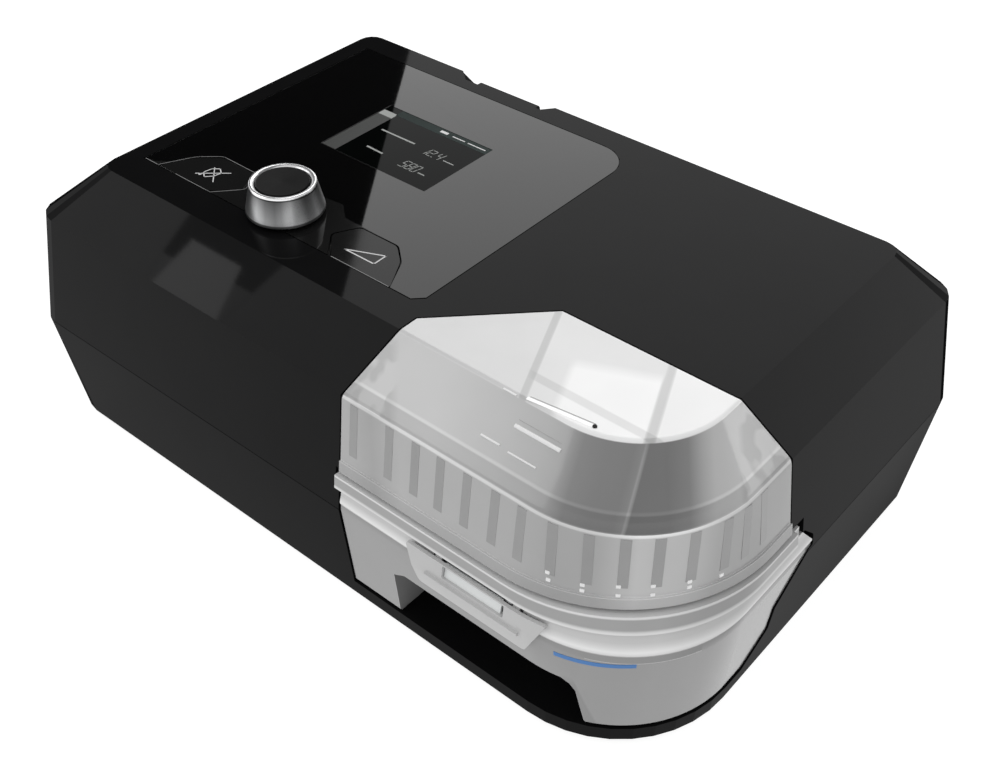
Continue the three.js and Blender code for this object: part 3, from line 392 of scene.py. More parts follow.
def noise(tree, size, detail=2.0, stretch=(1, 1, 1)):
    """Noise in the piece's own space, its features about size metres across."""
    node = tree.nodes.new("ShaderNodeTexNoise")
    place = tree.nodes.new("ShaderNodeMapping")
    coords = tree.nodes.new("ShaderNodeTexCoord")
    set_inputs(node, {"Scale": 1 / size, "Detail": detail})
    set_inputs(place, {"Scale": stretch})
    tree.links.new(coords.outputs["Object"], place.inputs["Vector"])
    tree.links.new(place.outputs["Vector"], node.inputs["Vector"])
    return node.outputs["Fac"]


def ranged(tree, value, low, high, start=0.3, end=0.7):
    """low up to start, high from end."""
    node = tree.nodes.new("ShaderNodeMapRange")
    tree.links.new(value, node.inputs["Value"])
    set_inputs(node, {"From Min": start, "From Max": end, "To Min": low, "To Max": high})
    return node.outputs["Result"]


def fade(tree, value, span, lift=0):
    """0 up to the span's start, 1 from its end."""
    return ranged(tree, value, 0, 1, span[0] + lift, span[1] + lift)


def reach(tree, direction, source="Object"):
    """How far a point lies along a direction in the piece's space, in millimetres, or its normal's share."""
    node = tree.nodes.new("ShaderNodeVectorMath")
    node.operation = "DOT_PRODUCT"
    scale = 1 / MM if source == "Object" else 1
    node.inputs[1].default_value = [scale * part for part in direction]
    coords = tree.nodes.new("ShaderNodeTexCoord")
    tree.links.new(coords.outputs[source], node.inputs[0])
    return node.outputs["Value"]


def ramp(tree, value, stops, lift=0):
    """A grey that follows stops of value and tone."""
    node = tree.nodes.new("ShaderNodeValToRGB")
    start, end = stops[0][0] + lift, stops[-1][0] + lift
    tree.links.new(ranged(tree, value, 0, 1, start, end), node.inputs["Fac"])
    marks = node.color_ramp.elements
    for i, (at, tone) in enumerate(stops):
        share = (at + lift - start) / (end - start)
        mark = marks[0] if i == 0 else marks[-1] if i == len(stops) - 1 else marks.new(share)
        mark.color = (tone, tone, tone, 1)
    return node.outputs["Color"]


def new_material(name):
    material = bpy.data.materials.new(name)
    material.use_nodes = True
    return material, material.node_tree, material.node_tree.nodes["Principled BSDF"]


def surface(name, colour, roughness, mottle=0.08, patch=0.02, grain=0.0005, relief=0.1, stretch=(1, 1, 1),
            tone=None, **sockets):
    """A shader with noise in tone, roughness and relief. Other sockets are named with _ for a space."""
    material, tree, shader = new_material(name)
    dark, light = (tuple(c * (1 + change) for c in colour) for change in (-mottle, mottle))
    paint = mixed(tree, ranged(tree, noise(tree, patch), 0, 1), dark, light)
    tree.links.new(product(tree, paint, tone(tree)) if tone else paint, shader.inputs["Base Color"])
    fine = noise(tree, grain, 3, stretch)
    tree.links.new(ranged(tree, fine, roughness * 0.88, roughness * 1.12), shader.inputs["Roughness"])
    bump = tree.nodes.new("ShaderNodeBump")
    set_inputs(bump, {"Strength": relief, "Distance": grain * 0.1})
    tree.links.new(fine, bump.inputs["Height"])
    tree.links.new(bump.outputs["Normal"], shader.inputs["Normal"])
    set_inputs(shader, {socket.replace("_", " "): value for socket, value in sockets.items()})
    return material


def plastic(name, grey, roughness, mottle=0.02, **more):
    return surface(name, (grey,) * 3, roughness, mottle=mottle, relief=0.01, **more)


# Directions of tone: round the tank's corner, over and along the stripes under the lid's top, rearward, up
ACROSS = (0.763, 0.647, 0)
STRIPES = (0.914, 0.405, 0)
ALONG_STRIPES = (0.405, -0.914, 0)
REARWARD = (0, 1, 0)
UP = (0, 0, 1)

# Place and tone: painted shade over the lid's top, a painted highlight on its bright end, and a dark stripe
# across that end
LID_TOP_PAINTED_SHADE = [(-20, 0.66), (8, 0.68), (38.2, 0.72), (38.6, 0.55), (40.4, 0.55), (40.9, 0.77), (76.6, 0.80),
           (77.2, 0.64), (79.2, 0.64), (79.8, 0.93), (100, 0.93)]
LID_TOP_PAINTED_HIGHLIGHT = [(-20, 0.64), (8, 0.68), (38.2, 0.70), (38.6, 0.54), (40.4, 0.54), (40.9, 0.74), (48.5, 0.76),
                  (51, 0.94), (76.2, 0.99), (76.8, 0.64), (79.2, 0.64), (79.8, 0.91), (100, 0.93)]
PAINTED_HIGHLIGHT_FROM = (72, 77)
LID_STRIPE = [(-62, 1), (-61.4, 0.82), (-58.9, 0.82), (-58.3, 1)]
STRIPE_FROM = (13, 16)
# The lid's slope, with painted shade whose dark band leans to the left on its way down, about this height
LID_SLOPE_PAINTED_SHADE = [(-42, 0.60), (-30, 0.65), (-13, 0.64), (4, 0.56), (16, 0.48), (21, 0.42), (25.5, 0.28),
             (32, 0.25), (39, 0.24), (41.5, 0.27), (42.2, 0.40), (43, 0.19), (51, 0.20), (57, 0.27),
             (61, 0.43), (64.5, 0.54), (72, 0.60), (80, 0.56), (90, 0.50)]
LEAN, LEAN_HEIGHT = 0.48, 101.5
LEAN_UP_TO = (44, 49)
# Mottled ends of the slope
LID_ENDS = [(-42, 1), (-28, 1), (-25, 0), (72, 0), (74, 1), (90, 1)]
BLOTCH_SIZE, BLOTCH_STRETCH, BLOTCH_EDGE = 0.006, (1, 1, 0.4), (0.45, 0.55)
BLOTCH_TONES = (0.82,) * 3, (1.02,) * 3
# Painted shade on the lid's wall, by place round the corner
LID_WALL_PAINTED_SHADE = [(-42, 0.54), (-34, 0.46), (-25, 0.57), (4, 0.53), (20, 0.48), (32, 0.50), (43, 0.68),
                 (58, 0.60), (66, 0.47), (80, 0.38), (90, 0.42)]
# Painted highlights: light lines round the lid, by height, with slightly darker painted shade beside them
LID_CREASE_PAINTED_HIGHLIGHTS = [(61, 0.86), (65.0, 0.90), (65.3, 1.25), (65.7, 1.25), (66, 1), (88.9, 1), (89.3, 1.6),
              (89.9, 1.7), (90.3, 0.84), (93.2, 0.84), (93.5, 1.25), (93.8, 1.2), (94.1, 1)]
SLOPE_FROM, TOP_FROM = (BROW - 0.1, BROW), (ROOF - 0.7, ROOF - 0.5)


# Painted light on the clear lid: painted shade and highlights over its top, slope and wall, times random
# mottling at the slope's ends
def lid_painted_light(tree):
    across, over_stripes, height = (reach(tree, direction) for direction in (ACROSS, STRIPES, UP))
    stripe = ramp(tree, reach(tree, REARWARD), LID_STRIPE)
    stripe = mixed(tree, fade(tree, across, STRIPE_FROM), PLAIN, stripe)
    top_highlight = product(tree, ramp(tree, over_stripes, LID_TOP_PAINTED_HIGHLIGHT), stripe)
    highlight_part = fade(tree, reach(tree, ALONG_STRIPES), PAINTED_HIGHLIGHT_FROM)
    top = mixed(tree, highlight_part, ramp(tree, over_stripes, LID_TOP_PAINTED_SHADE), top_highlight)
    crease_highlights = ramp(tree, height, LID_CREASE_PAINTED_HIGHLIGHTS, FOOT)
    blotch = mixed(tree, fade(tree, noise(tree, BLOTCH_SIZE, 1, BLOTCH_STRETCH), BLOTCH_EDGE), *BLOTCH_TONES)
    patchy = mixed(tree, ramp(tree, across, LID_ENDS), PLAIN, blotch)
    leaning = ramp(tree, reach(tree, (*ACROSS[:2], -LEAN)), LID_SLOPE_PAINTED_SHADE, -LEAN * LEAN_HEIGHT)
    shade = mixed(tree, fade(tree, across, LEAN_UP_TO), leaning, ramp(tree, across, LID_SLOPE_PAINTED_SHADE))
    slope = product(tree, product(tree, shade, crease_highlights), patchy)
    wall = product(tree, ramp(tree, across, LID_WALL_PAINTED_SHADE), crease_highlights)
    side = mixed(tree, fade(tree, height, SLOPE_FROM, FOOT), wall, slope)
    return mixed(tree, fade(tree, height, TOP_FROM, FOOT), side, top)


# Painted light on the tub: highlight bands and darker bands by height, painted shade round the corner, and
# painted shade on its finger recess's right chamfer
TUB_PAINTED_LIGHT_BANDS = [(0, 0.68), (46.5, 0.68), (46.9, 1.9), (48.2, 2.2), (49.6, 1.75), (50.6, 1.5), (53.2, 1.5),
             (53.9, 1.6), (54.3, 2.0), (54.9, 1.6), (55.4, 0.9), (58.3, 0.9), (58.7, 2.0), (59.7, 1.5)]
TUB_PAINTED_CORNER_SHADE = [(-42, 1), (50, 1), (64, 0.82), (76, 0.72), (95, 0.72)]
GRIP_END = (0.968, 0, 0.25)
GRIP_PAINTED_CHAMFER_SHADE = [(112, 1), (114.3, 1), (114.7, 0.78), (117.4, 0.78), (118.2, 1), (125, 1)]
CHAMFER_UP_TO = (28, 32)


def tub_painted_light(tree):
    height = reach(tree, UP)
    light_bands = product(tree, ramp(tree, height, TUB_PAINTED_LIGHT_BANDS, FOOT), ramp(tree, reach(tree, ACROSS), TUB_PAINTED_CORNER_SHADE))
    chamfer_shade = ramp(tree, reach(tree, GRIP_END), GRIP_PAINTED_CHAMFER_SHADE)
    return product(tree, light_bands, mixed(tree, fade(tree, height, CHAMFER_UP_TO, FOOT), chamfer_shade, PLAIN))


# Painted reflections on the knob, by the way its side faces
KNOB_PAINTED_REFLECTION = [(-1, 0.3), (-0.85, 0.35), (-0.62, 0.62), (-0.38, 0.3), (-0.12, 0.2), (0.05, 0.3), (0.3, 0.75),
              (0.5, 0.5), (0.68, 0.27), (0.8, 0.3), (0.93, 0.5), (1, 0.4)]


def knob_painted_light(tree):
    low, high = KNOB_LOW.z, KNOB_HIGH.z
    # By height: painted shade at the foot, a painted highlight band above it, and a painted shade line of a
    # groove just under the polished rim
    stops = [(low, 0.2), (low + 1, 0.25), (low + 1.3, 1.25), (low + 4, 0.9), (high - 3, 0.55),
             (high - 1.4, 0.4), (high - 1.2, 0.12), (high, 0.12)]
    rise = ramp(tree, reach(tree, UP), stops, FOOT)
    return product(tree, rise, ramp(tree, reach(tree, ACROSS, "Normal"), KNOB_PAINTED_REFLECTION))


CALM_FROM = 0.3


def calm_edges(material, level, end):
    """Fades the mirror off faces that are seen almost edge on, from CALM_FROM to end."""
    tree = material.node_tree
    node = tree.nodes.new("ShaderNodeLayerWeight")
    tree.links.new(ranged(tree, node.outputs["Facing"], level, 0, CALM_FROM, end),
                   tree.nodes["Principled BSDF"].inputs["Specular IOR Level"])
    return material


CASING = calm_edges(surface("casing_black", (0.0052, 0.0052, 0.0054), 0.03, relief=0.01), 0.066, 0.77)
# A darker copy of the casing's black with a weaker mirror, for the lower housing: painted shade
CASING_SHADED = calm_edges(surface("casing_black_shaded", (0.0048, 0.0048, 0.0050), 0.05, relief=0.01), 0.027, 0.86)
GLOSS = surface("window_black", (0.0012, 0.0012, 0.0013), 0.02, grain=0.004, relief=0, Specular_IOR_Level=0.29)
FIELD = surface("key_field", (0.008,) * 3, 0.06, grain=0.004, relief=0, Specular_IOR_Level=0.13)
BLACK = surface("satin_black", (0.007,) * 3, 0.34, Specular_IOR_Level=0.095)
SCREEN = surface("screen_glass", (0.0012, 0.0016, 0.0015), 0.02, relief=0, Specular_IOR_Level=0.028)
GREEN = surface("solder_mask", (0.02, 0.12, 0.05), 0.4, patch=0.006, mottle=0.2)
WHITE = surface("natural_plastic", (0.72, 0.72, 0.70), 0.45)
METAL = surface("satin_aluminium", (0.9, 0.91, 0.92), 0.3, grain=0.0006, stretch=(1, 1, 12), tone=knob_painted_light,
                Metallic=0.9)
POLISHED = surface("polished_rim", (0.92, 0.92, 0.93), 0.2, relief=0.02, Metallic=0.8)
STEEL = surface("bright_steel", (0.5, 0.51, 0.52), 0.3, stretch=(1, 8, 1), Metallic=1.0)
HEATER = surface("machined_plate", (0.55, 0.56, 0.57), 0.35, stretch=(1, 14, 1), Metallic=1.0)
BLUE = surface("card_blue", (0.03, 0.07, 0.25), 0.4)
SILICONE = surface("grey_silicone", (0.22, 0.23, 0.23), 0.6, relief=0.2)
GASKET = surface("dark_gasket", (0.07,) * 3, 0.5, relief=0.2)
FOAM = surface("filter_foam", (0.62, 0.63, 0.64), 0.9, grain=0.0008, relief=0.9)
RUBBER = surface("foot_rubber", (0.02,) * 3, 0.75, relief=0.4)
TUB = plastic("frosted_tub", 0.42, 0.2, tone=tub_painted_light, Coat_Weight=0.3)
# A paler copy of the tub's plastic on the bevelled edges of tub and latch: painted highlights
EDGE_HIGHLIGHT = plastic("edge_highlight", 0.72, 0.2)
LATCH = plastic("latch_grey", 0.55, 0.22, mottle=0.03, Coat_Weight=0.3)
LATCH_PULL = surface("latch_pull", (0.80, 0.82, 0.82), 0.25, mottle=0.02, relief=0.01)
LID = plastic("clear_lid", 1.0, 0.08, tone=lid_painted_light, Alpha=0.86)
# A brighter copy of the lid's plastic on its bevelled edges and raised bars: painted highlights
LID_EDGE_HIGHLIGHT = plastic("lid_edge_highlight", 0.94, 0.1, Alpha=0.9)
# A bright opaque copy of the lid's plastic: painted highlights on the lugs; the vent is drawn in it too
LUG = plastic("lid_lug", 0.95, 0.1)
LID_RIB = plastic("lid_rib", 0.42, 0.15, mottle=0.04, Alpha=0.75)
INK = surface("level_ink", (0.03, 0.18, 0.50), 0.4)
PRINT = surface("light_print", (0.60,) * 3, 0.5, grain=0.0002)
PRINT_DIM = surface("faint_print", (0.22,) * 3, 0.5, grain=0.0002)
GLOW = surface("screen_glow", (0.018, 0.020, 0.018), 0.5, grain=0.0002)
GLOW_BRIGHT = surface("screen_glow_bright", (0.30, 0.31, 0.30), 0.5, grain=0.0002)
GLOW_DIM = surface("screen_band", (0.019, 0.030, 0.028), 0.5, grain=0.0002, Specular_IOR_Level=0.1)


# Shading that stays sharp where faces meet at an angle, as a modifier

def shading_group(limit):
    group = bpy.data.node_groups.new("shade_by_angle", "GeometryNodeTree")
    for way in ("INPUT", "OUTPUT"):
        group.interface.new_socket("Geometry", in_out=way, socket_type="NodeSocketGeometry")
    source, result, faces, edges, angle, shallow = (group.nodes.new(kind) for kind in (
        "NodeGroupInput", "NodeGroupOutput", "GeometryNodeSetShadeSmooth", "GeometryNodeSetShadeSmooth",
        "GeometryNodeInputMeshEdgeAngle", "FunctionNodeCompare"))
    edges.domain = "EDGE"
    shallow.operation = "LESS_THAN"
    shallow.inputs[1].default_value = math.radians(limit)
    for output, socket in (
        (source.outputs[0], faces.inputs["Geometry"]), (faces.outputs[0], edges.inputs["Geometry"]),
        (angle.outputs["Unsigned Angle"], shallow.inputs[0]),
        (shallow.outputs[0], edges.inputs["Shade Smooth"]), (edges.outputs[0], result.inputs[0]),
    ):
        group.links.new(output, socket)
    return group


SHADE_ANGLE = 28
SHADING = shading_group(SHADE_ANGLE)


def soften(piece, edge):
    """Rounds sharp edges, in the piece's second material if it has one, and shades the rest smoothly."""
    if edge:
        bevel = piece.modifiers.new("edges", "BEVEL")
        bevel.material = 1 if len(piece.data.materials) > 1 else -1
        bevel.width = edge * MM
        bevel.segments = 2
        bevel.limit_method = "ANGLE"
        bevel.angle_limit = math.radians(SHADE_ANGLE)
        bevel.miter_outer = "MITER_ARC"
    shade = piece.modifiers.new("shading", "NODES")
    shade.node_group = SHADING
    weigh = piece.modifiers.new("normals", "WEIGHTED_NORMAL")
    weigh.keep_sharp = True
    weigh.weight = 80


def dress(piece, name, body, looks, replaced=(), edge=0):
    piece.name = piece.data.name = name
    piece.data.materials.clear()
    for look in looks if isinstance(looks, list) else [looks]:
        piece.data.materials.append(look)
    soften(piece, edge)
    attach(piece, body)
    if replaced:
        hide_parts(*replaced)


def merge(pieces):
    """One object from several, each keeping its own shells."""
    base = pieces[0]
    if len(pieces) > 1:
        with bpy.context.temp_override(active_object=base, selected_editable_objects=pieces):
            bpy.ops.object.join()
    return base


# CAD nodes that keep their shape

HOUSING_EDGE = 0.4
FLAT_WITHIN = 0.5
NODE_LOOKS = [
    (CASING, "upper_housing filter_cover"), (CASING_SHADED, "lower_housing"), (SCREEN, "lcd_module"),
    (GREEN, "main_board display_board heater_element"), (WHITE, "display_ribbon blower_base blower_cover"),
    (BLACK, "power_transformer power_inlet mute_switch ramp_switch impeller intake_box"),
    (STEEL, "card_reader knob_encoder knob_shaft blower_motor motor_shaft tub_base_plate latch_pin"),
    (STEEL, "filter_capacitor_1 filter_capacitor_2 case_screw_1 case_screw_2 case_screw_3 case_screw_4"),
    (SILICONE, "tank_inlet_seal tank_outlet_seal return_duct"), (HEATER, "heater_plate"), (FOAM, "filter_pad"),
    (SILICONE, "blower_isolator_1 blower_isolator_2 blower_isolator_3"), (BLUE, "memory_card"),
    (RUBBER, "foot_1 foot_2 foot_3 foot_4"),
]


def dress_nodes():
    for look, nodes in NODE_LOOKS:
        for node in nodes.split():
            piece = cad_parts[node]
            piece.material_slots[0].material = look
            flatten = piece.modifiers.new("flat_faces", "DECIMATE")
            flatten.decimate_type = "DISSOLVE"
            flatten.angle_limit = math.radians(FLAT_WITHIN)
            soften(piece, HOUSING_EDGE if "housing" in node else 0)


# Lid

# Raised bars on the lid's front slope, in the lid's painted highlight plastic: left and right end, y, radius
# and how far the middle stands proud
LID_BARS = [(67.3, 72.1, -69.9, 0.3, 0.1), (76.6, 93, -75.8, 0.7, -0.25), (68.6, 75.6, -81.5, 0.35, 0),
            (79, 89.1, -81.9, 0.3, 0)]
# The vent on the lid's top, its lines, and its black tip
VENT, VENT_WIDTH = [(75.9, -69.0), (96.6, -66.4)], 1.3
VENT_LINE, SLOPE_LINE, VENT_LINE_WIDTH = [(75.9, -68.0), (96.9, -65.3)], [(77, -74.3), (92, -74.3)], 0.4
VENT_TIP, VENT_TIP_RADIUS, VENT_TIP_ENDS = (97.4, -66.3), 0.7, (ROOF - 0.2, ROOF + 0.3)
# Ribs: places along the wall, then width, depth and inset, and both ends
RIBS_ALONG = [5.3, 20.2, 30.9, 40.8, 51.1, 61.7, 71.4, 82.1, 92.9, 103.1, 112.7, 122.9, 133.9, 141.8, 150.2]
RIB_SIZE = 3.2, 0.6, -0.08
RIB_LOW, RIB_HIGH = LID_FOOT + LID_LIP_HEIGHT + 4, BROW - 1.3
# Lugs at the ribs' feet, bright opaque dots as painted highlights: place along the wall and height, then sizes
LUGS = [(81.5, 70.0), (81.9, 67.2), (91.9, 68.8), (91.9, 66.5), (102.0, 69.9), (102.1, 66.2), (111.8, 69.9),
        (111.9, 66.2), (122.6, 69.2), (122.7, 66.9), (133.1, 67.2)]
LUG_SIZE, LUG_HALF = (1.5, 0.7, -0.3), 0.65
GASKET_OUTSIDE, GASKET_INSIDE = 1.2, 3.8


def make_lid():
    dome = join(envelope(LID_FOOT, ROOF), envelope(LID_FOOT, LID_FOOT + LID_LIP_HEIGHT, -LID_LIP))
    cross(dome, tank_top(0))
    hollow = cross(envelope(LID_FOOT - PAST, ROOF - LID_WALL, LID_WALL, LID_WALL), tank_top(-LID_WALL))
    holes = [rod_y(x, z, AIR_HOLE_RADIUS, LID_BACK - LID_WALL - PAST, LID_BACK + PAST) for x, z in AIR_HOLES]
    cut(dome, hollow, *holes)
    dress(dome, "lid_shell", "lid", [LID, LID_EDGE_HIGHLIGHT], ["tank_lid"], edge=0.5)


def lid_trim(name, shapes, look, edge=0):
    dress(merge(shapes), name, "lid", look, edge=edge)


def slope_height(y):
    return BROW + (y - FRONT - BROW_LEVEL.front) * (ROOF - BROW) / (TOP_LEVEL.front - BROW_LEVEL.front)


def make_lid_bars():
    bars = [rod_x(y, slope_height(y) + proud, radius, x0, x1, 12) for x0, x1, y, radius, proud in LID_BARS]
    lid_trim("lid_bars", bars, LID_EDGE_HIGHLIGHT)
    lid_trim("lid_vent", stroke(VENT, VENT_WIDTH, ROOF), LUG)
    line = stroke(VENT_LINE, VENT_LINE_WIDTH, ROOF)
    line += stroke(SLOPE_LINE, VENT_LINE_WIDTH, slope_height(SLOPE_LINE[0][1]))
    lid_trim("lid_vent_line", line, LID_RIB)
    lid_trim("lid_vent_tip", [disc(*VENT_TIP, VENT_TIP_RADIUS, *VENT_TIP_ENDS, 16)], BLACK)


# Lengths along the wall are counted at this level
WALL_MIDDLE = wall_level(75, 51.35)


def off_wall(x, y, level):
    """How far a point lies outside the casing's front and right side at a level."""
    dx, dy = x - (HALF - level.side - level.tank), y - (FRONT + level.front + level.tank)
    if dx > 0 > dy:
        return math.hypot(dx, dy) - level.tank
    return max(dx, -dy) - level.tank


def wall_point(along, z, inset):
    """A point and outward direction on the tank's wall, along millimetres from its left end."""
    middle = WALL_MIDDLE
    x_turn, y_turn = HALF - middle.side - middle.tank, FRONT + middle.front + middle.tank
    straight, bow = x_turn - TANK_LEFT, middle.tank * math.pi / 2
    x, y, angle = TANK_LEFT + min(along, straight), y_turn, -math.pi / 2
    if along > straight:
        angle += min(along - straight, bow) / middle.tank
        y += max(along - straight - bow, 0)
    nx, ny = math.cos(angle), math.sin(angle)
    x, y = x + nx * middle.tank, y + ny * middle.tank
    for _ in range(6):
        off = off_wall(x, y, level_at(z)) + inset
        x, y = x - nx * off, y - ny * off
    return (x, y, z), (nx, ny)


def upright(along, width, depth, inset, z0, z1, steps=6):
    """A rib that follows the wall from z0 to z1, its back at inset."""
    rings = []
    half = width / 2
    for k in range(steps + 1):
        z = z0 + (z1 - z0) * k / steps
        (x, y, _), (nx, ny) = wall_point(along, z, inset)
        corners = [(-half, depth), (half, depth), (half, 0), (-half, 0)]
        rings.append([(x - ny * side - nx * deep, y + nx * side - ny * deep, z) for side, deep in corners])
    return loft(rings)


def make_lid_ribs():
    ribs = [upright(along, *RIB_SIZE, RIB_LOW, RIB_HIGH) for along in RIBS_ALONG]
    lid_trim("lid_ribs", ribs, LID_RIB)
    lugs = [upright(along, *LUG_SIZE, z - LUG_HALF, z + LUG_HALF, 2) for along, z in LUGS]
    lid_trim("lid_lugs", lugs, LUG, edge=0.25)


def make_gasket():
    band = cross(envelope(SEAL_FOOT, SEAL_HEAD, GASKET_OUTSIDE), tank_top(-GASKET_OUTSIDE))
    cut(band, cross(envelope(SEAL_FOOT - PAST, SEAL_HEAD + PAST, GASKET_INSIDE), tank_top(-GASKET_INSIDE)))
    dress(band, "lid_gasket", "lid", GASKET, ["tank_seal"])


# Tub and latch

# The latch's pin, whose hole in the tub goes on past the pocket's ends
PIN_Y, PIN_Z, PIN_HOLE, PIN_PAST = -93.6, 51.1, 1.1, 1.4
# The level line: place along the wall, height, rise, and depth of its faces
LEVEL_START, LEVEL_LENGTH = 86.0, 22.0
LEVEL_Z, LEVEL_RISE, LEVEL_WIDTH = 40.7, 1.8, 1.9
LEVEL_FACES = 0.42, 0.9
LEVEL_STEPS = 24
# The latch's plate: ends of its foot and head, and its thickness before it is shaped
LATCH_FOOT, LATCH_HEAD, LATCH_DEPTH, LATCH_CORNER = (56, 98.5), (50.5, 105), 6.0, 1.5
# How far its face and its back stand off the tub
LATCH_FACE, LATCH_BACK = 2.0, 0.1
# Above this height its back stands further off, for its swing
LATCH_RELIEF, LATCH_BACK_HIGH = 50.3, 0.75
LATCH_SLOT = (66, 90.3, 47.0, 51.9)
# The ears stand this much above the plate
LATCH_EARS = 0.5
EAR_PLACES, EAR_WIDTH, EAR_RADIUS, EAR_LOW, EAR_START = (61.5, 92.3), 2.5, 1.8, 49.3, 1.0
# Ridge at the foot and pull behind the slot: outline behind the front, and both ends
RIDGE, RIDGE_ENDS = [(-0.9, 44.7), (0.5, 44.0), (0.5, 45.9), (-0.9, 45.6)], (59.5, 96.5)
PULL, PULL_ENDS = [(1.2, 46.8), (2.1, 46.8), (3.2, 51.7), (2.6, 52.0)], (66.2, 88.6)


def grip_space(grow):
    left, right, top = GRIP_LEFT - grow, GRIP_RIGHT + grow, GRIP_TOP + grow
    return prism_y([
        (left, GRIP_FOOT), (right + 2, GRIP_FOOT), (right + 1, TUB_FOOT - 1), (right - 0.4, TUB_FOOT + 2),
        (right - 2.2, GRIP_TOP - 5), (right - 3.9, top - 1.9), (right - 6.5, top), (left + 5, top),
        (left, GRIP_TOP - 3),
    ], -FAR, GRIP_BACK + grow)


def pocket(grow):
    return block(POCKET_LEFT - grow, POCKET_RIGHT + grow, -FAR, POCKET_BACK + grow, POCKET_LOW - grow,
                 POCKET_HIGH + grow)


def base_plate_room():
    (x0, y0, _), (x1, y1, top) = mm_box("tub_base_plate")
    return block(x0 - BASE_GAP, x1 + BASE_GAP, y0 - BASE_GAP, y1 + BASE_GAP, TUB_FOOT - PAST, top + BASE_GAP)


def tub_hollow():
    floor_top = TUB_FOOT + TUB_FLOOR
    hollow = join(
        block(-FAR, TUB_INNER_RIGHT - TUB_WALL, -FAR, TUB_BACK - TUB_WALL, floor_top, TUB_TOP - TUB_WALL),
        up_to(FLANK_Y - TUB_WALL, floor_top, FAR),
        up_to(FLANGE_BACK - TUB_WALL, TUB_TOP - 2 * TUB_WALL, FAR),
    )
    cross(hollow, side_plan(-TUB_WALL), envelope(floor_top - PAST / 2, HOLLOW_TOP, HOLLOW_INSET))
    return cut(hollow, grip_space(TUB_WALL), pocket(TUB_WALL))


def make_tub():
    outer = loft([ring(level_at(z), inset) for z, inset in TUB_PROFILE])
    near = block(-FAR, TUB_INNER_RIGHT, -FAR, TUB_BACK, TUB_FOOT, TUB_TOP)
    skin = prism_x(TUB_FLANK, TUB_INNER_RIGHT - TUB_SKIN, FAR)
    neck = up_to(FLANGE_BACK, TUB_TOP - NECK_DEPTH, TUB_HEAD)
    tub = cross(join(near, skin, neck), side_plan(0), outer)
    flange = cross(envelope(FLANGE_LOW, TUB_HEAD, -FLANGE_PROUD), side_plan(FLANGE_SIDE),
                   up_to(FLANGE_END, FLANGE_LOW - PAST, FAR))
    join(tub, flange)
    pin = rod_x(PIN_Y, PIN_Z, PIN_HOLE, POCKET_LEFT - PIN_PAST, POCKET_RIGHT + PIN_PAST)
    cut(tub, tub_hollow(), grip_space(0), pocket(0), pin, base_plate_room())
    dress(tub, "tub_shell", "tank", [TUB, EDGE_HIGHLIGHT], ["water_tub"], edge=0.4)


def make_level_line():
    """A printed line that follows the tub's front round its corner."""
    inner, outer = LEVEL_FACES
    rings = []
    for i in range(LEVEL_STEPS + 1):
        share = i / LEVEL_STEPS
        along = LEVEL_START + LEVEL_LENGTH * share
        z = LEVEL_Z + LEVEL_RISE * share
        rings.append([wall_point(along, z + rise, inset)[0]
                      for rise, inset in rectangle(0, LEVEL_WIDTH, inner, outer)][::-1])
    dress(loft(rings), "level_line", "tank", INK)


def behind_latch_front(outline, ends):
    return prism_x([(LATCH_LOW.y + y, z) for y, z in outline], *ends)


def make_latch():
    low, high = LATCH_LOW.z, LATCH_HIGH.z - LATCH_EARS
    y0 = LATCH_LOW.y
    (left, right), (head_left, head_right) = LATCH_FOOT, LATCH_HEAD
    outline = [(left, low), (right, low), (head_right, high), (head_left, high)]
    plate = prism_y(rounded(outline, LATCH_CORNER), y0, y0 + LATCH_DEPTH)
    cross(plate, envelope(low - 2 * PAST, high + 2 * PAST, -LATCH_FACE))
    above = high + 3 * PAST
    cut(plate, envelope(low - 3 * PAST, above, -LATCH_BACK), envelope(LATCH_RELIEF, above, -LATCH_BACK_HIGH))
    cut(plate, prism_y(rounded(rectangle(*LATCH_SLOT), 0.5), -FAR, FAR))
    for x in EAR_PLACES:
        ear = block(x, x + EAR_WIDTH, y0 + EAR_START, PIN_Y, EAR_LOW, high - 0.4)
        join(plate, join(ear, rod_x(PIN_Y, PIN_Z, EAR_RADIUS, x, x + EAR_WIDTH)))
    cut(plate, rod_x(PIN_Y, PIN_Z, PIN_HOLE, -FAR, FAR))
    join(plate, behind_latch_front(RIDGE, RIDGE_ENDS))
    dress(plate, "latch_flap", "latch", [LATCH, EDGE_HIGHLIGHT], ["tank_latch"], edge=0.3)
    dress(behind_latch_front(PULL, PULL_ENDS), "latch_pull", "latch", LATCH_PULL)


# Deck

# The right key's outline, from the knob's middle and the window's front edge
KEY_OUTLINE = [(30.7, -1), (57.7, -1), (50.7, 12.2), (43.6, 18.3), (26.5, 18.3), (21.8, 9.3)]
KEY_MIDDLE = [sum(point[i] for point in KEY_OUTLINE) / len(KEY_OUTLINE) for i in (0, 1)]
KEY_CORNER = 1.6
# How far key, hole and printed line lie outside it
KEY_GROW, KEY_HOLE_GROW, KEY_LINE_GROW = -0.1, 0.36, 0.75
# How much a corner draws in that the window's edge cuts off
KEY_DRAW = 0.04
KEY_THICK, PLUNGER_TOP = 0.7, 0.2
# Its plunger: middle and half size
PLUNGER_AT, PLUNGER_HALF = (41, 9.5), (4, 2.5)
WINDOW_CUT = 3.5
WINDOW_CORNER = 13.0
KNOB_HOLE = 11.8
PRINT_HEIGHT = 0.03
SCREEN_FACE = (-73.0, -21.7, -7.3, 29.5)
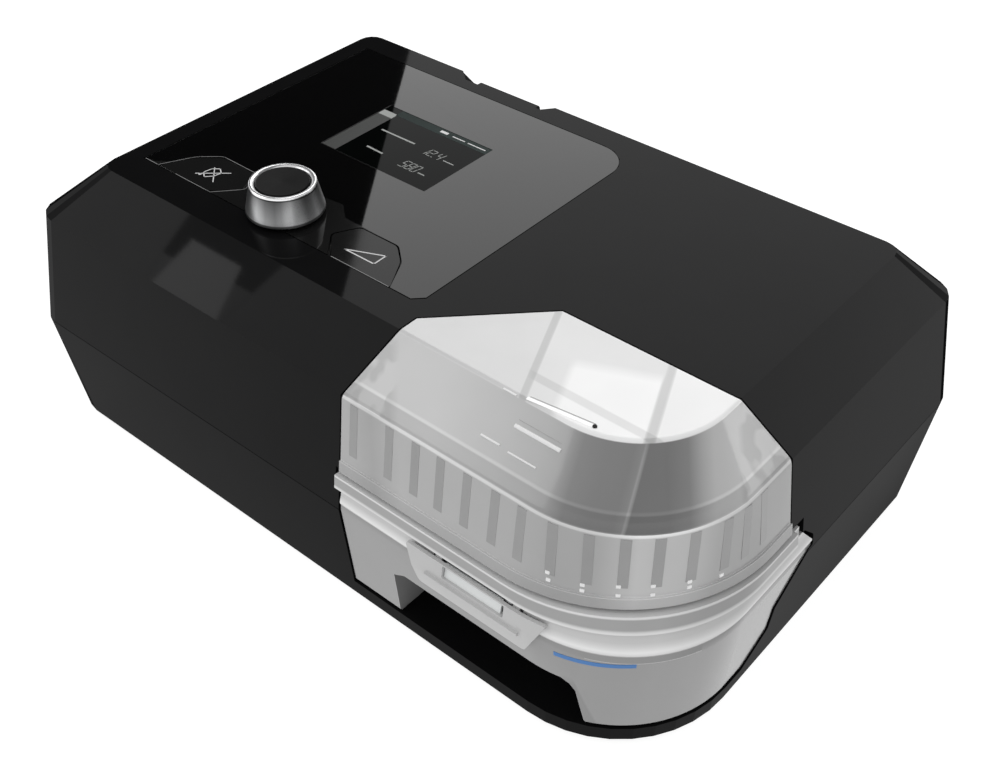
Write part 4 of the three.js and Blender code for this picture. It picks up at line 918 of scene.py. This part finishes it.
# The grey field round both keys
KEY_FIELD = [(-101.6, -48.9), (-112, -57), (9, -57), (4.5, -49), (-4, -38.3), (-16.5, -37.2), (-30.7, -36.9),
             (-36.9, -31.6), (-45.2, -32.5), (-62, -35.4), (-76.6, -37.4), (-93, -37.4), (-96.5, -41.2)]


def key_plan(side, grow, clip=False):
    points = []
    for x, y in KEY_OUTLINE:
        dx, dy = x - KEY_MIDDLE[0], y - KEY_MIDDLE[1]
        size = math.hypot(dx, dy)
        k = (size + grow) / size
        up = KEY_MIDDLE[1] + dy * k
        if clip and up < 0:
            k -= KEY_DRAW * up / (up - KEY_MIDDLE[1])
            up = 0
        points.append((KNOB_X + side * (KEY_MIDDLE[0] + dx * k), WINDOW_LOW.y + up))
    return rounded(points if side > 0 else points[::-1], KEY_CORNER)


def window_plan():
    (x0, y0), (x1, y1) = WINDOW_LOW.xy, WINDOW_HIGH.xy
    r = WINDOW_CORNER
    corner = arc(x1 - r, y1 - r, r, 0, 16)
    return [(x0, y0), (x1 - WINDOW_CUT, y0), (x1, y0 + WINDOW_CUT), *corner, (x0, y1)]


def key_holes():
    keys = [prism_z(key_plan(side, KEY_HOLE_GROW), 0, FAR) for side in (-1, 1)]
    return [*keys, disc(KNOB_X, KNOB_Y, KNOB_HOLE, 0, FAR)]


def make_window():
    pane = prism_z(window_plan(), WINDOW_LOW.z, WINDOW_HIGH.z)
    cut(pane, *key_holes(), block(*SCREEN_FACE, 0, FAR))
    dress(pane, "window_panel", "root", GLOSS, ["display_window"], edge=0.15)
    z = WINDOW_HIGH.z
    field = cross(prism_z(KEY_FIELD, z, z + PRINT_HEIGHT), prism_z(window_plan(), 0, FAR))
    cut(field, *key_holes())
    dress(field, "key_field", "root", FIELD)


def make_keys():
    (across, up), (half_width, half_depth) = PLUNGER_AT, PLUNGER_HALF
    for name, side in (("mute", -1), ("ramp", 1)):
        low, high = mm_box(f"{name}_button")
        cap = prism_z(key_plan(side, KEY_GROW, clip=True), high.z - KEY_THICK, high.z)
        x, y = KNOB_X + side * across, WINDOW_LOW.y + up
        join(cap, block(x - half_width, x + half_width, y - half_depth, y + half_depth, low.z,
                        high.z - PLUNGER_TOP))
        dress(cap, f"{name}_cap", f"{name}_key", FIELD, [f"{name}_button"], edge=0.15)


def stroke(points, width, z, closed=False):
    """A thin printed line through points on the deck."""
    shapes = []
    ends = list(zip(points, points[1:])) + ([(points[-1], points[0])] if closed else [])
    h = width / 2
    for (x0, y0), (x1, y1) in ends:
        length = math.hypot(x1 - x0, y1 - y0)
        ux, uy = (x1 - x0) / length * h, (y1 - y0) / length * h
        outline = [(x0 - ux + uy, y0 - uy - ux), (x1 + ux + uy, y1 + uy - ux), (x1 + ux - uy, y1 + uy + ux),
                   (x0 - ux - uy, y0 - uy + ux)]
        shapes.append(prism_z(outline, z, z + PRINT_HEIGHT))
    return shapes


def strokes(lines, z):
    return [shape for points, width in lines for shape in stroke(points, width, z)]


def deck_print(name, shapes, look, body="root"):
    dress(merge(shapes), name, body, look)


# Prints on the window: points and width of each line
BELL, BELL_WIDTH = [(-90.2, -48.6), (-89.6, -45.3), (-87.3, -43.4), (-84.7, -45.2), (-85.4, -48.2),
                    (-87.6, -50.6)], 0.4
BELL_CROSS = [([(-91.7, -51), (-82.2, -43)], 0.4), ([(-82.6, -50.8), (-89.4, -44.2)], 0.35)]
CLAPPER, CLAPPER_RADIUS = (-90.2, -50.3), 0.6
WEDGE, WEDGE_WIDTH = [(-17.5, -50.1), (-4.4, -44.3), (-4.3, -50)], 0.5
KEY_LINE_WIDTH = 0.22
# Ends of the lines along the window's front edge
EDGE_LINES, EDGE_LINE_WIDTH = [(-113.4, -97), (-18, 7.8)], 0.25


def make_prints():
    z = WINDOW_HIGH.z
    bell = stroke(BELL, BELL_WIDTH, z, closed=True) + strokes(BELL_CROSS, z)
    bell.append(disc(*CLAPPER, CLAPPER_RADIUS, z, z + PRINT_HEIGHT, 16))
    deck_print("mute_icon", bell, PRINT, "mute_key")
    deck_print("ramp_icon", stroke(WEDGE, WEDGE_WIDTH, z, closed=True), PRINT, "ramp_key")
    above = z + PRINT_HEIGHT
    edge = WINDOW_LOW.y + 0.1
    outline = [(x, max(y, edge)) for x, y in key_plan(-1, KEY_LINE_GROW)]
    lines = stroke(outline, KEY_LINE_WIDTH, above, closed=True)
    lines += strokes([([(x0, edge), (x1, edge)], EDGE_LINE_WIDTH) for x0, x1 in EDGE_LINES], above)
    deck_print("key_outlines", lines, PRINT_DIM)


# Which bars each figure lights: top, upper right, lower right, bottom, lower left, upper left, middle
FIGURE_BARS = {"0": "012345", "1": "12", "2": "01346", "4": "1256", "5": "02356", "8": "0123456", ".": ""}
BAR_ENDS = ["ab", "bc", "cd", "de", "ef", "fa", "fc"]
FIGURE_WIDTH, FIGURE_LEAN, FIGURE_STROKE = 1.9, 0.25, 0.3
POINT_LENGTH, POINT_STROKE = 0.3, 0.35
FIGURE_STEP, POINT_STEP = 1.45 * FIGURE_WIDTH, 1.1
# The screen's figures with place and height, and its lines
FIGURES = [("12.4", -41.2, 11.5, 4.0), ("580", -41, -0.4, 4.5)]
SCREEN_LINES = [([(-62.7, 14.3), (-46.7, 14.4)], 0.8), ([(-30.2, 12.4), (-25.8, 12.4)], 0.5),
                ([(-58.4, 2.1), (-51, 1.8)], 0.8), ([(-31.6, 0.4), (-29, 0.4)], 0.5)]
STATUS_LINES = [([(-44.6, 27.6), (-42.4, 27.6)], 1.4), ([(-39, 27.4), (-33.5, 27.4)], 0.5),
                ([(-31.5, 27.4), (-23.5, 27.4)], 0.5)]
# The screen's left bar with its bright tip, its upper band, and gaps
BAR_RIGHT, BAR_TOP, TIP_TOP, BAR_GAP = 7.0, 7.0, 3.5, 0.2
BAND_LEFT, BAND_DEPTH = 6.6, 4.1
FACE_GAP = 0.1


def digits(word, x, y, height, z):
    marks = []
    width, half = FIGURE_WIDTH, height / 2
    corners = dict(a=(0, height), b=(width, height), c=(width, half), d=(width, 0), e=(0, 0), f=(0, half))
    for figure in word:
        spot = {key: (x + u + v * FIGURE_LEAN, y + v) for key, (u, v) in corners.items()}
        for bar in FIGURE_BARS[figure]:
            start, end = BAR_ENDS[int(bar)]
            marks += stroke([spot[start], spot[end]], FIGURE_STROKE, z)
        if figure == ".":
            marks += stroke([(x, y), (x + POINT_LENGTH, y)], POINT_STROKE, z)
        x += POINT_STEP if figure == "." else FIGURE_STEP
    return marks


def make_screen():
    x0, x1, y0, y1 = SCREEN_FACE
    z = WINDOW_HIGH.z - 0.1
    above = z + PRINT_HEIGHT
    left, right, bottom, top = x0 + FACE_GAP, x1 - FACE_GAP, y0 + FACE_GAP, y1 - FACE_GAP
    bar_left, bar_right, bar_top = x0 + BAR_GAP, x0 + BAR_RIGHT, y1 - BAR_TOP
    band = block(x0 + BAND_LEFT, right, y1 - BAND_DEPTH, top, z, above)
    bar = block(bar_left, bar_right, y0 + BAR_GAP, bar_top, z, above)
    tip = block(bar_left, bar_right, bar_top, y1 - TIP_TOP, z, above)
    rows = [mark for word, x, y, height in FIGURES for mark in digits(word, x, y, height, z)]
    for name, shapes, look in (
        ("screen_face", [block(left, right, bottom, top, SCREEN_HEAD, z)], SCREEN),
        ("screen_band", [band], GLOW_DIM), ("screen_bar", [bar], GLOW), ("screen_bar_tip", [tip], GLOW_BRIGHT),
        ("screen_rows", rows + strokes(SCREEN_LINES, z), GLOW_BRIGHT),
        ("screen_status", strokes(STATUS_LINES, above), PRINT),
    ):
        deck_print(name, shapes, look)


KNOB_FOOT_RADIUS, KNOB_HEAD_RADIUS, DISH_RADIUS, KNOB_BORE, BORE_FOOT = 13.8, 11.6, 9.5, 3.3, 5.5
CAP_RADIUS, CAP_DEPTH, AXIS = 9.2, 0.15, 0.01
DISH_DEPTH, BORE_FOOT_HEIGHT, RIM_DEPTH = 1.5, 2.4, 0.9
KNOB_STEPS = 96


def make_knob():
    """Ring and cap, turned from outlines of radius and height."""
    low, high = KNOB_LOW.z, KNOB_HIGH.z
    dish, step = high - DISH_DEPTH, low + BORE_FOOT_HEIGHT
    section = [(BORE_FOOT, low), (KNOB_FOOT_RADIUS, low), (KNOB_HEAD_RADIUS, high - 0.95),
               (KNOB_HEAD_RADIUS - 0.2, high), (10.3, high), (DISH_RADIUS, high - 0.7), (DISH_RADIUS, dish),
               (KNOB_BORE, dish), (KNOB_BORE, step), (BORE_FOOT, step)]
    centre = (KNOB_X, KNOB_Y, 0)
    knob = lathe(rounded(section, 0.5, 3), centre, "Z", KNOB_STEPS)
    dress(knob, "knob_ring", "knob_turner", [METAL, POLISHED], ["knob"])
    for face in knob.data.polygons:
        if face.center.z / MM - FOOT > high - RIM_DEPTH:
            face.material_index = 1
    top = high - CAP_DEPTH
    cap = lathe([(AXIS, CAP_FOOT), (CAP_RADIUS, CAP_FOOT), (CAP_RADIUS, top - 0.2), (CAP_RADIUS - 0.2, top),
                 (8.4, top - 0.05), (AXIS, top - 0.3)], centre, "Z", KNOB_STEPS)
    dress(cap, "knob_disc", "knob_turner", BLACK, ["knob_cap"])


PORT_BORE, PORT_OUTSIDE, PORT_EDGE, PORT_STEPS = 9.0, 11.0, 0.9, 72
COLLAR_FRONT, COLLAR_LENGTH, COLLAR_CORNER = 64.3, 8.0, 1.0


def make_port():
    """A round spigot with an upright collar plate, whose flat top shows at the deck's rear edge."""
    x = (PORT_LOW.x + PORT_HIGH.x) / 2
    z = PORT_LOW.z + (PORT_HIGH.x - PORT_LOW.x) / 2
    section = rounded(rectangle(PORT_BORE - PAST, PORT_OUTSIDE, PORT_LOW.y, PORT_HIGH.y), PORT_EDGE, 3)
    port = lathe(section, (x, 0, z), "Y", PORT_STEPS)
    collar = rounded(rectangle(PORT_LOW.x, PORT_HIGH.x, PORT_LOW.z, PORT_HIGH.z), COLLAR_CORNER)
    join(port, prism_y(collar, COLLAR_FRONT, COLLAR_FRONT + COLLAR_LENGTH))
    cut(port, rod_y(x, z, PORT_BORE, -FAR, FAR, PORT_STEPS))
    dress(port, "hose_spigot", "root", CASING, ["hose_port"], edge=0.4)


# Studio, in metres

CAMERA_AT = Vector((0.25206, -0.29068, 0.35553))
CAMERA_LOOK = Vector((-0.491676, 0.580155, -0.649365))
LENS = 47.635
# Lamps whose mirror images lie on window, deck and front slope: place, size, turn and level
CARD_HEIGHT = 1.5
CARDS = [
    ("window", -1.028, 1.979, 1.57, 2.4, 36.1, 2.4), ("right", 2.6, 3.2, 1.4, 2.6, 0, 2.5),
    ("front_left", -2.163, -0.95, 0.8, 1, -33.6, 1.6), ("front_right", -1.07, -1.187, 0.8, 1, -39.7, 1.5),
]
# The brightest patch: y of its upper and lower edge, left and right end of each
MIDDLE_CARD = (-1.044, -1.20), (-1.697, -1.545), (-1.825, -1.612)
MIDDLE_ROWS = 14
MIDDLE_RADIANCE = 4.0
# Beside it the side lamps go on below a dark notch: start, outer edge above and below, level
NOTCH_FILLS = [("left", 0.42, (-1.746, -1.849), 1.6), ("right", 0.3, (-1.4715, -1.601), 1.5)]
# Strength of the soft light, and of what is seen overhead in front and at the rear
SOFT_LEVEL = 0.8
FRONT_SKY, REAR_SKY = 0.65, 0.02
# Where the sky changes over, above the white horizon and from front to rear
HORIZON_END = (0.05, 0.4)
FRONT_END = (-0.15, 0.1)
# The floor: half its width in millimetres, its tones, and its glow for soft light and when seen
FLOOR_HALF = 9e3
FLOOR_TONES = (0.24,) * 3, (0.26,) * 3
FLOOR_GLOW = 0.45, 0.9


def make_camera():
    data = bpy.data.cameras.new("camera")
    data.lens, data.clip_start = LENS, 0.01
    camera = placed("camera", data)
    camera.location = CAMERA_AT
    camera.rotation_mode = "QUATERNION"
    camera.rotation_quaternion = CAMERA_LOOK.to_track_quat("-Z", "Y")
    bpy.context.scene.camera = camera


def softbox(name, x, y, width, depth, turn, radiance):
    """A rectangular lamp that shines down, turn degrees about the upright, hidden from the camera."""
    data = bpy.data.lights.new(name, "AREA")
    data.shape, data.size, data.size_y = "RECTANGLE", width, depth
    data.energy = radiance * math.pi * width * depth
    lamp = placed(name, data)
    lamp.location = (x, y, CARD_HEIGHT)
    lamp.rotation_euler = (0, 0, math.radians(turn))
    lamp.visible_camera = False


def seen(tree):
    """1 for camera, mirror and glass rays, 0 for the rays of soft light."""
    path = tree.nodes.new("ShaderNodeLightPath")
    total = path.outputs["Is Camera Ray"]
    for name in ("Is Glossy Ray", "Is Transmission Ray"):
        add = tree.nodes.new("ShaderNodeMath")
        add.operation, add.use_clamp = "ADD", True
        tree.links.new(total, add.inputs[0])
        tree.links.new(path.outputs[name], add.inputs[1])
        total = add.outputs[0]
    return total


def make_world():
    """Even soft light. What camera and mirrors see is white near the horizon and dark overhead."""
    world = bpy.data.worlds.new("studio")
    bpy.context.scene.world = world
    world.use_nodes = True
    world.cycles.sampling_method = "NONE"
    tree = world.node_tree
    shader = tree.nodes["Background"]
    coords = tree.nodes.new("ShaderNodeTexCoord")
    split = tree.nodes.new("ShaderNodeSeparateXYZ")
    tree.links.new(coords.outputs["Generated"], split.inputs[0])
    overhead = mixed(tree, fade(tree, split.outputs["Y"], FRONT_END), (FRONT_SKY,) * 3, (REAR_SKY,) * 3)
    sky = mixed(tree, fade(tree, split.outputs["Z"], HORIZON_END), PLAIN, overhead)
    tree.links.new(mixed(tree, seen(tree), (SOFT_LEVEL,) * 3, sky), shader.inputs["Color"])


def make_floor():
    corners = rectangle(-FLOOR_HALF, FLOOR_HALF, -FLOOR_HALF, FLOOR_HALF)
    floor = mesh_object("floor", [(x, y, -FOOT) for x, y in corners], [(0, 1, 2, 3)])
    material, tree, shader = new_material("pale_floor")
    tree.links.new(mixed(tree, noise(tree, 0.5), *FLOOR_TONES), shader.inputs["Base Color"])
    set_inputs(shader, {"Roughness": 1, "Specular IOR Level": 0})
    tree.links.new(ranged(tree, seen(tree), *FLOOR_GLOW, 0, 1), shader.inputs["Emission Strength"])
    floor.data.materials.append(material)


def make_middle_card():
    """A patch with slanting sides, from rows of lamps."""
    (y0, y1), upper, lower = MIDDLE_CARD
    depth = (y0 - y1) / MIDDLE_ROWS
    for k in range(MIDDLE_ROWS):
        share = (k + 0.5) / MIDDLE_ROWS
        y = y0 + (y1 - y0) * share
        ends = [a + (b - a) * share for a, b in zip(upper, lower)]
        softbox(f"front_middle_{k}", sum(ends) / 2, y, ends[1] - ends[0], depth, 0, MIDDLE_RADIANCE)
        for (side, start, edge, radiance), inner in zip(NOTCH_FILLS, ends):
            outer = edge[0] + (edge[1] - edge[0]) * share
            if share > start:
                softbox(f"front_{side}_{k}", (inner + outer) / 2, y, abs(outer - inner), depth, 0, radiance)


def make_studio():
    make_camera()
    make_world()
    make_floor()
    for card in CARDS:
        softbox(*card)
    make_middle_card()
    bpy.context.scene.view_settings.view_transform = "Standard"


make_studio()
dress_nodes()
make_lid()
make_lid_bars()
make_lid_ribs()
make_gasket()
make_tub()
make_level_line()
make_latch()
make_window()
make_keys()
make_prints()
make_screen()
make_knob()
make_port()
